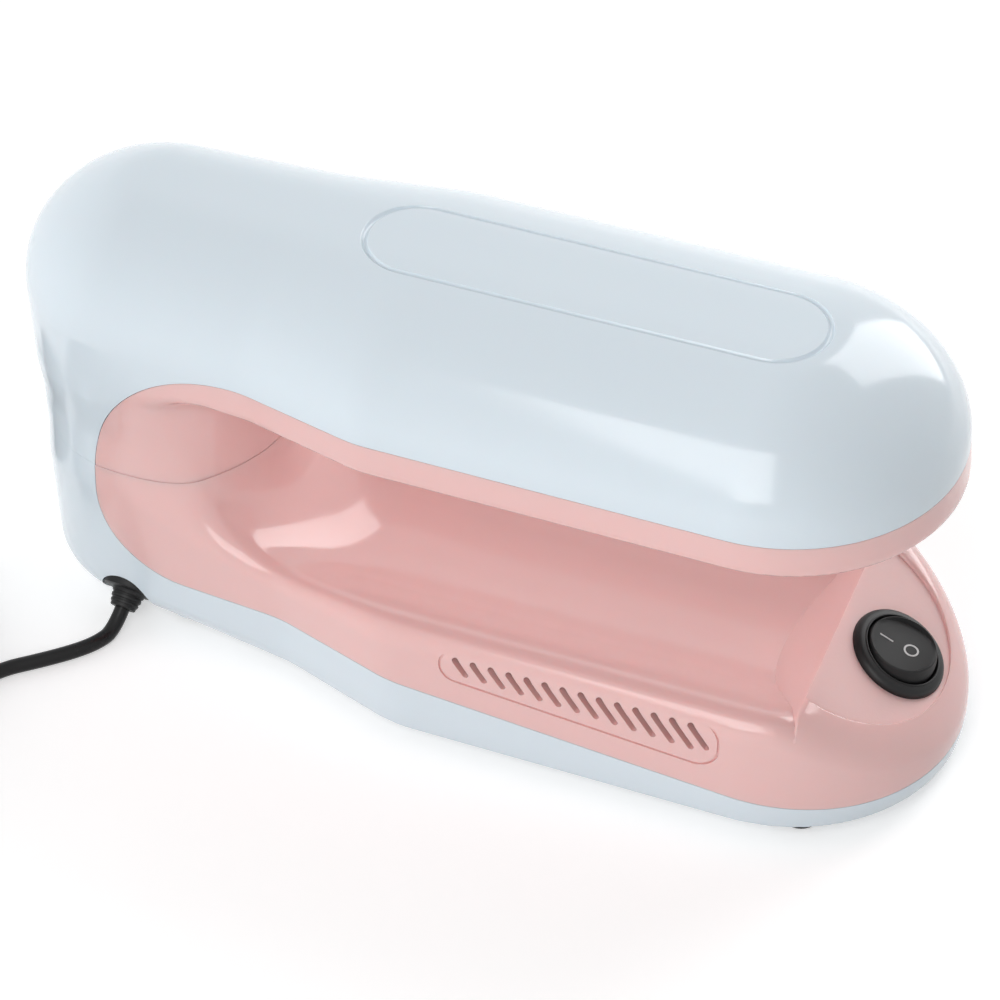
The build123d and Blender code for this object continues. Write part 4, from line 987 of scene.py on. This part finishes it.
def cut_tray(tray, wall):
    """Cuts the holes of feet, posts and bushing, and stands the screw posts in the tray."""
    holes = [prism(circle_outline(FOOT_HOLE, 48, place), FLOOR_Z - 1, FLOOR_Z + 1) for place in FEET]
    holes += [prism(circle_outline(POST_HOLE, 48, place), FLOOR_Z - 1, FLOOR_Z + wall + 1) for place in POSTS]
    cut(tray, joined("floor", holes))
    cut(tray, joined("gland", [prism(circle_outline(GLAND_HOLE, 64), -2.5, 12, GLAND_PLACE)]))
    for x, y in POSTS:
        add_solid(tray, *screw_tube(x, y, POST_FOOT, POST_SEAT, POST_TOP, POST_BORE))


def grain_platform(base):
    """Gives the flat half moon round the switch its own skin."""
    # A tool eroded by sparks leaves a fine matt grain, so the platform shows no mirror image
    matt = moulded("Pink ABS, spark-eroded moulding", bpy.context.scene.nail_lamp_colour.pink, (0.42, 0.5),
                   1500.0, 0.00003, 0.3)
    base.data.materials.clear()
    base.data.materials.append(finish_of("pink_abs"))
    base.data.materials.append(matt)
    way = SWITCH_PLACE.to_3x3() @ Vector((0, 0, 1))
    same_way, same_level = 0.999, 0.02
    for face in base.data.polygons:
        level = (face.center / MM - SWITCH_PLACE.translation).dot(way)
        face.material_index = int(face.normal.dot(way) > same_way and abs(level) < same_level)


def make_shells():
    """Meshes the lamp's form once, parts it along the seams and cuts each shell's openings."""
    shell = bpy.context.scene.nail_lamp_shell
    wall, gap, groove = shell.wall / MM, shell.seam / MM / 2, shell.column_seam / MM / 2

    def form(p):
        return lamp_form(p[:, 0], p[:, 1], p[:, 2], shell)

    def pink_side(p):
        return pink_part(p[:, 0], p[:, 2]) + gap

    def white_side(p):
        return gap - pink_part(p[:, 0], p[:, 2])

    corner, quads = contour(form, *MESHED_SPACE, shell.cell / MM)
    corner = settle(form, corner, 2)
    skin = corner, triangles(corner, quads)
    pink, white = keep_side(*skin, form, pink_side), keep_side(*skin, form, white_side)
    parted = {
        "top_cover": ("white_abs", keep_side(*white, form, over(SEAM_Z + HAIRLINE))),
        "hood_liner": ("pink_abs", keep_side(*pink, form, over(SEAM_Z + groove))),
        "base_cover": ("pink_abs", keep_side(*pink, form, under(SEAM_Z - groove))),
        "base_shell": ("white_abs", keep_side(*white, form, under(SEAM_Z - HAIRLINE))),
    }
    made = {name: shell_object("lamp_" + name, part, form, wall, slot)
            for name, (slot, part) in parted.items()}
    cut_cover(made["top_cover"])
    cut_liner(made["hood_liner"])
    cut_base(made["base_cover"], shell)
    add_lip(made["base_cover"], pink, form, groove)
    cut_tray(made["base_shell"], wall)
    for name, obj in made.items():
        finish_mesh(obj)
        true_normals(obj, form)
        dress(obj, parted[name][0], name)
    grain_platform(made["base_cover"])


# Switch

# Radius and height in the switch's own place: the well, the ring inside the bezel, the bezel and the barrel
HOUSING_PROFILE = (
    (0, -9.3), (8.5, -9.3), (8.5, 1.98), (8.54, 2.12), (8.64, 2.2), (8.8, 2.2), (8.9, 2.12), (8.94, 1.98),
    (9.05, 1.94), (9.6, 1.86), (10.15, 1.62), (10.55, 1.24), (10.8, 0.75), (10.9, 0.3), (10.9, 0.05),
    (10.85, 0.0), (9.95, 0.0), (9.95, -11.3), (9.75, -11.5), (0, -11.5))

# The rocker is a ball cut off at its top and bottom. Its top is dished and its pivot lies above the seat
ROCKER_BALL, ROCKER_TOP, ROCKER_DISH, ROCKER_BOTTOM = 8.2, 3.6, 26.0, -4.6
ROCKER_PIVOT, ROCKER_TILT = 0.2, math.radians(-11.0)
FLAT_RIM = 0.4

# Marks: the ring's radii and place, the bar's half sides and place, and half their thickness
RING_MARK, RING_X = (1.65, 1.25), 2.0
BAR_MARK, BAR_X = (1.6, 0.17), -3.8
MARK_LIFT = 0.05


def make_housing():
    """The switch's bezel, well and barrel, turned as one."""
    housing = lathe("lamp_switch_housing", HOUSING_PROFILE, SWITCH_PLACE, finish_of("switch_black"), 128)
    dress(housing, "switch_black", "switch_housing")


def make_rocker():
    """The dished rocker, tilted as in the photograph, and its two printed marks."""
    tilt = Matrix.Rotation(ROCKER_TILT, 4, "Y")
    place = SWITCH_PLACE @ Matrix.Translation((0, 0, ROCKER_PIVOT)) @ tilt
    face = math.sqrt(ROCKER_BALL ** 2 - ROCKER_TOP ** 2)
    dish_z = ROCKER_TOP + math.sqrt(ROCKER_DISH ** 2 - (face - FLAT_RIM) ** 2)

    def face_z(x):
        if abs(x) >= face:
            return ROCKER_TOP
        return min(ROCKER_TOP, dish_z - math.sqrt(ROCKER_DISH ** 2 - x * x))

    rings = [(face * k / 14, None) for k in range(14)]
    rings += [(face + out, ROCKER_TOP - down) for out, down in ((-0.18, 0.01), (-0.02, 0.07), (0.14, 0.22))]
    first = math.asin((ROCKER_TOP - 0.35) / ROCKER_BALL)
    last = math.asin(ROCKER_BOTTOM / ROCKER_BALL)
    rings += [(ROCKER_BALL * math.cos(a), ROCKER_BALL * math.sin(a)) for a in np.linspace(first, last, 18)]
    rings += [(ROCKER_BALL * math.cos(last) - 0.3, ROCKER_BOTTOM), (0.0, ROCKER_BOTTOM)]
    rings = [[place @ Vector((x, y, face_z(x) if height is None else height))
              for x, y in circle_outline(radius, 96 if radius else 1)] for radius, height in rings]
    rocker = skin_over("lamp_rocker", rings, finish_of("rocker_black"), 40)
    dress(rocker, "rocker_black", "switch_rocker", body="rocker")

    # Pad printing leaves an even grey with a dull gloss
    ink = moulded("Grey pad printed mark", bpy.context.scene.nail_lamp_colour.mark, (0.4, 0.5))

    def print_mark(name, outside, inside, along):
        """A thin closed outline that follows the dish."""
        points, faces = ring_of([(outside, -MARK_LIFT), (outside, MARK_LIFT),
                                 (inside, MARK_LIFT), (inside, -MARK_LIFT)])
        points = [place @ Vector((p.x + along, p.y, face_z(p.x + along) + p.z)) for p in points]
        mark = joined(name, [(points, faces)])
        finish_mesh(mark)
        mark.data.materials.append(ink)
        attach(mark, "rocker")

    outer, inner = RING_MARK
    print_mark("lamp_mark_off", circle_outline(outer, 48), circle_outline(inner, 48), RING_X)
    half_x, half_y = BAR_MARK
    bar = [(x * half_x, y * half_y) for x, y in ((-1, -1), (1, -1), (1, 1), (-1, 1))]
    print_mark("lamp_mark_on", bar, [(x * 0.5, y * 0.02) for x, y in bar], BAR_X)


# Mains lead

# The free stretch as points on the floor, then two layers of half turns across the coil
LEAD_RUN = ((-80.7, -37.6), (-84.1, -41.9), (-89.9, -47.3), (-96.8, -53.0))
COIL_START, COIL_HEADING, COIL_RADIUS = (-104.0, -70.4), (-0.342, -0.940), 28.8
COIL_STEP, COIL_RUN_IN, COIL_LIFT, UPPER_Z = 1.95, 5.0, 0.9, 6.85
LOWER_TURNS, UPPER_TURNS, TURN_PIECES = 10, 9, 8

# Radius and height along the bushing: the neck behind the wall, the head and the ribbed relief
NECK_LENGTH = 6.4
BUSHING_PROFILE = (
    (0, -4.7), (4.5, -4.7), (4.8, -4.5), (4.8, -3.4), (4.1, -3.3), (4.1, 0.0), (6.2, 0.0), (6.3, 0.15),
    (6.3, 1.6), (6.06, 2.16), (5.5, 2.4), (3.95, 2.42), (3.8, 2.6), (3.62, 3.2), (3.35, 3.3), (3.35, 3.7),
    (3.5, 3.8), (3.4, 4.4), (3.12, 4.5), (3.12, 4.9), (3.25, 5.0), (3.15, 5.5), (2.95, 5.6), (2.9, 6.25),
    (2.75, NECK_LENGTH), (0, NECK_LENGTH))


def lead_route(diameter):
    """The lead's own line: control points of its spline in millimetres, from the bushing to the plug."""
    floor = diameter / 2
    low_z = floor + COIL_LIFT
    start = GLAND_SEAT + GLAND_OUT * NECK_LENGTH
    landing = start + GLAND_OUT * ((start.z - floor) / -GLAND_OUT.z)
    heading = Vector((*COIL_HEADING, 0)).normalized()
    side = Vector((-heading.y, heading.x, 0))
    coil_start = Vector((*COIL_START, low_z))
    entry = coil_start - heading * diameter
    centre = coil_start - side * COIL_RADIUS
    route = [start, landing, *(Vector((x, y, floor)) for x, y in LEAD_RUN),
             entry - heading * COIL_RUN_IN, entry]
    ends = [COIL_RADIUS - COIL_STEP * k for k in range(LOWER_TURNS + 1)]
    ends += [ends[-1] + COIL_STEP * (k + 2) for k in range(UPPER_TURNS)]
    spots = []
    for k, distance in enumerate(ends):
        spot = centre + side * (distance if k % 2 == 0 else -distance)
        spots.append(Vector((spot.x, spot.y, low_z if k < LOWER_TURNS else UPPER_Z)))
    turn = math.pi / TURN_PIECES
    for k, (first, last) in enumerate(zip(spots, spots[1:])):
        middle = (first + last) / 2
        radius = (first - last).length / 2 / math.cos(turn / 2)
        out = (first - last).normalized()
        out.z = 0
        ahead = heading * (1 if k % 2 == 0 else -1)
        for j in range(TURN_PIECES):
            angle = (j + 0.5) * turn
            point = middle + out * (radius * math.cos(angle)) + ahead * (radius * math.sin(angle))
            point.z = first.z + (last.z - first.z) * (1 - math.cos(angle)) / 2
            route.append(point)
    point = spots[-1] - heading * diameter
    route.append(point)
    for k in range(3):
        way = Matrix.Rotation(math.radians(8.0 * k), 3, "Z") @ -heading
        point = point + way * 5.0
        route.append(point)
    return route


def make_lead():
    """The black lead as one spline, and its bushing."""
    lead = bpy.context.scene.nail_lamp_lead
    route = lead_route(lead.diameter / MM)
    curve = bpy.data.curves.new("lamp_lead", "CURVE")
    curve.dimensions = "3D"
    curve.bevel_depth = lead.diameter / 2
    curve.bevel_resolution = 5
    curve.use_fill_caps = True
    spline = curve.splines.new("NURBS")
    spline.points.add(len(route) - 1)
    for point, place in zip(spline.points, route):
        point.co = (*(place * MM), 1.0)
    spline.order_u = 3
    spline.use_endpoint_u = True
    spline.resolution_u = 6
    cord = linked("lamp_lead", curve)
    dress(cord, "cord_black", "mains_cord", "cord_coil", "plug_lead")
    bushing = lathe("lamp_bushing", BUSHING_PROFILE, GLAND_PLACE, finish_of("switch_black"), 64)
    dress(bushing, "switch_black", "cord_bushing")


# What is kept from the frame

KEPT = {
    "reflector_pan": "reflector", "uv_tube": "uv_glass", "tube_cap": "cap_white", "tube_pins": "pin_brass",
    "lamp_holder": "holder_white", "switch_terminals": "terminal_metal", "front_screws": "screw_steel",
    "rear_screws": "screw_steel", "hood_screws": "screw_steel", "holder_screws": "screw_steel",
    "board_screws": "screw_steel", "rubber_feet": "foot_rubber", "driver_board": "board", "choke": "choke_core",
    "capacitors": "capacitor_case", "transistors": "transistor_case", "mains_lead": "cord_black",
    "lamp_leads": "lead_white", "switch_leads": "lead_white", "cord_tie": "tie_black",
    "plug_body": "plug_black", "plug_pins": "pin_nickel",
}


def dress_frame():
    """Gives every modelled node that stays its finish."""
    for node, slot in KEPT.items():
        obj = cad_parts[node]
        obj.data.materials.clear()
        obj.data.materials.append(finish_of(slot))


# Stage

# Softboxes: name, place, what they look at, sides, power and roll in degrees
SOFTBOXES = (
    ("far softbox", (0.314, 0.775, 0.505), (0.087, 0.027, 0.059), (0.40, 0.95), 4.5, 0.0),
    ("near softbox", (0.022, -0.745, 0.669), (0.21, -0.116, 0.054), (0.40, 0.78), 3.5, 22.0),
)

# The floor's side, and its glow for the camera: from this distance to that one, between these levels
FLOOR_HALF, GLOW_DISTANCES, GLOW_LEVELS = 3.0, (0.35, 1.4), (0.45, 0.75)

# Light from all round on the object: it grows against this direction, and the level is its middle
SOFT_WAY, SOFT_LEVEL = (-0.65, 0.16, -1.5), 1.42
CAMERA_PLACE, CAMERA_AIM, LENS, SENSOR = (0.203208, -0.520357, 0.541868), (0.0, 0.0, 0.038877), 126.0, 36.0


def look_at(place, target):
    """The turn of a lamp or camera at one point that looks at another."""
    return (Vector(target) - Vector(place)).to_track_quat("-Z", "Y")


def area_light(name, place, target, size, power, roll):
    """A softbox that looks at a point."""
    data = bpy.data.lights.new(name, "AREA")
    data.shape = "RECTANGLE"
    data.size, data.size_y = size
    data.energy = power
    lamp = linked(name, data)
    lamp.location = place
    turn = look_at(place, target).to_matrix() @ Matrix.Rotation(math.radians(roll), 3, "Z")
    lamp.rotation_euler = turn.to_euler()


def seen_background(tree):
    """One for rays from the camera, mirrors and glass, and zero for the light on the object."""
    rays = add_node(tree, "ShaderNodeLightPath").outputs
    two = add_node(tree, "ShaderNodeMath", {0: rays["Is Camera Ray"], 1: rays["Is Glossy Ray"]},
                   operation="ADD", use_clamp=True).outputs[0]
    return add_node(tree, "ShaderNodeMath", {0: two, 1: rays["Is Transmission Ray"]}, operation="ADD",
                    use_clamp=True).outputs[0]


def make_floor():
    """A matt floor that the camera sees nearly white, and brighter away from the lamp."""
    data = bpy.data.meshes.new("floor")
    sides = ((-1, -1), (1, -1), (1, 1), (-1, 1))
    data.from_pydata([(x * FLOOR_HALF, y * FLOOR_HALF, 0) for x, y in sides], [], [(0, 1, 2, 3)])
    floor = linked("floor", data)
    # Rolled matt paint throws light back evenly and shows no highlight
    material, tree, shader = new_material("Matt white studio floor")
    shader.inputs["Base Color"].default_value = (0.8, 0.8, 0.8, 1)
    shader.inputs["Roughness"].default_value = 1.0
    shader.inputs["Specular IOR Level"].default_value = 0.0
    shader.inputs["Emission Color"].default_value = (1, 1, 1, 1)
    spot = add_node(tree, "ShaderNodeTexCoord").outputs["Object"]
    away = add_node(tree, "ShaderNodeVectorMath", {0: spot}, operation="LENGTH").outputs["Value"]
    level = add_node(tree, "ShaderNodeMapRange", {
        "Value": away, "From Min": GLOW_DISTANCES[0], "From Max": GLOW_DISTANCES[1],
        "To Min": GLOW_LEVELS[0], "To Max": GLOW_LEVELS[1]}).outputs["Result"]
    glow = add_node(tree, "ShaderNodeMath", {0: seen_background(tree), 1: level}, operation="MULTIPLY")
    tree.links.new(glow.outputs[0], shader.inputs["Emission Strength"])
    data.materials.append(material)


def make_world():
    """White for the camera and for mirrors, and a soft uneven light for the object itself."""
    world = bpy.data.worlds.new("studio")
    bpy.context.scene.world = world
    world.use_nodes = True
    tree = world.node_tree
    tree.nodes.clear()
    way = add_node(tree, "ShaderNodeTexCoord").outputs["Generated"]
    share = add_node(tree, "ShaderNodeVectorMath", {0: way, 1: SOFT_WAY}, operation="DOT_PRODUCT")
    soft = add_node(tree, "ShaderNodeMath", {0: share.outputs["Value"], 1: SOFT_LEVEL}, operation="ADD")
    soft = add_node(tree, "ShaderNodeMath", {0: soft.outputs[0], 1: 0.0}, operation="MAXIMUM")
    level = add_node(tree, "ShaderNodeMapRange", {"Value": seen_background(tree), "To Min": soft.outputs[0],
                                                  "To Max": 1.0})
    back = add_node(tree, "ShaderNodeBackground", {"Color": (1, 1, 1, 1),
                                                   "Strength": level.outputs["Result"]})
    add_node(tree, "ShaderNodeOutputWorld", {"Surface": back.outputs[0]})


def make_camera():
    """The camera at the photograph's angle."""
    data = bpy.data.cameras.new("photo")
    data.sensor_width = SENSOR
    data.lens = LENS
    data.clip_start = 0.05
    camera = linked("photo", data)
    camera.location = CAMERA_PLACE
    camera.rotation_euler = look_at(CAMERA_PLACE, CAMERA_AIM).to_euler()
    bpy.context.scene.camera = camera


def make_stage():
    """Pale floor, white background, soft lamps and the camera."""
    bpy.context.scene.view_settings.view_transform = "Standard"
    make_floor()
    make_world()
    for softbox in SOFTBOXES:
        area_light(*softbox)
    make_camera()


# Add-on

class LAMP_OT_shells(Operator):
    """Build the four moulded shells"""
    bl_idname = "nail_lamp.shells"
    bl_label = "Build shells"

    def execute(self, context):
        make_shells()
        return {"FINISHED"}


class LAMP_OT_switch(Operator):
    """Build the switch's bezel, rocker and marks"""
    bl_idname = "nail_lamp.switch"
    bl_label = "Build switch"

    def execute(self, context):
        make_housing()
        make_rocker()
        return {"FINISHED"}


class LAMP_OT_lead(Operator):
    """Lay the mains lead and its bushing"""
    bl_idname = "nail_lamp.lead"
    bl_label = "Lay lead"

    def execute(self, context):
        make_lead()
        return {"FINISHED"}


class LAMP_OT_finishes(Operator):
    """Give the modelled pieces that stay their finishes"""
    bl_idname = "nail_lamp.finishes"
    bl_label = "Apply finishes"

    def execute(self, context):
        dress_frame()
        return {"FINISHED"}


class LAMP_OT_stage(Operator):
    """Set up the floor, the lamps and the camera"""
    bl_idname = "nail_lamp.stage"
    bl_label = "Build stage"

    def execute(self, context):
        make_stage()
        return {"FINISHED"}


class LAMP_PT_panel(Panel):
    """The lamp's settings and steps."""
    bl_idname = "LAMP_PT_panel"
    bl_label = "Mini nail lamp"
    bl_space_type = "VIEW_3D"
    bl_region_type = "UI"
    bl_category = "Nail lamp"

    def draw(self, context):
        for setting in SETTINGS:
            group = getattr(context.scene, setting)
            box = self.layout.box()
            for name in group.__annotations__:
                box.prop(group, name)
        for operator in STEPS:
            self.layout.operator(operator.bl_idname)


STEPS = (LAMP_OT_stage, LAMP_OT_lead, LAMP_OT_shells, LAMP_OT_switch, LAMP_OT_finishes)
SETTINGS = {"nail_lamp_shell": LampShellSettings, "nail_lamp_lead": LampLeadSettings,
            "nail_lamp_colour": LampColourSettings}


def register():
    for cls in (*SETTINGS.values(), *STEPS, LAMP_PT_panel):
        bpy.utils.register_class(cls)
    for name, cls in SETTINGS.items():
        setattr(bpy.types.Scene, name, PointerProperty(type=cls))


def unregister():
    for name in SETTINGS:
        delattr(bpy.types.Scene, name)
    for cls in reversed((*SETTINGS.values(), *STEPS, LAMP_PT_panel)):
        bpy.utils.unregister_class(cls)


def main():
    register()
    for operator in STEPS:
        group, name = operator.bl_idname.split(".")
        getattr(getattr(bpy.ops, group), name)()


if __name__ == "__main__":
    main()
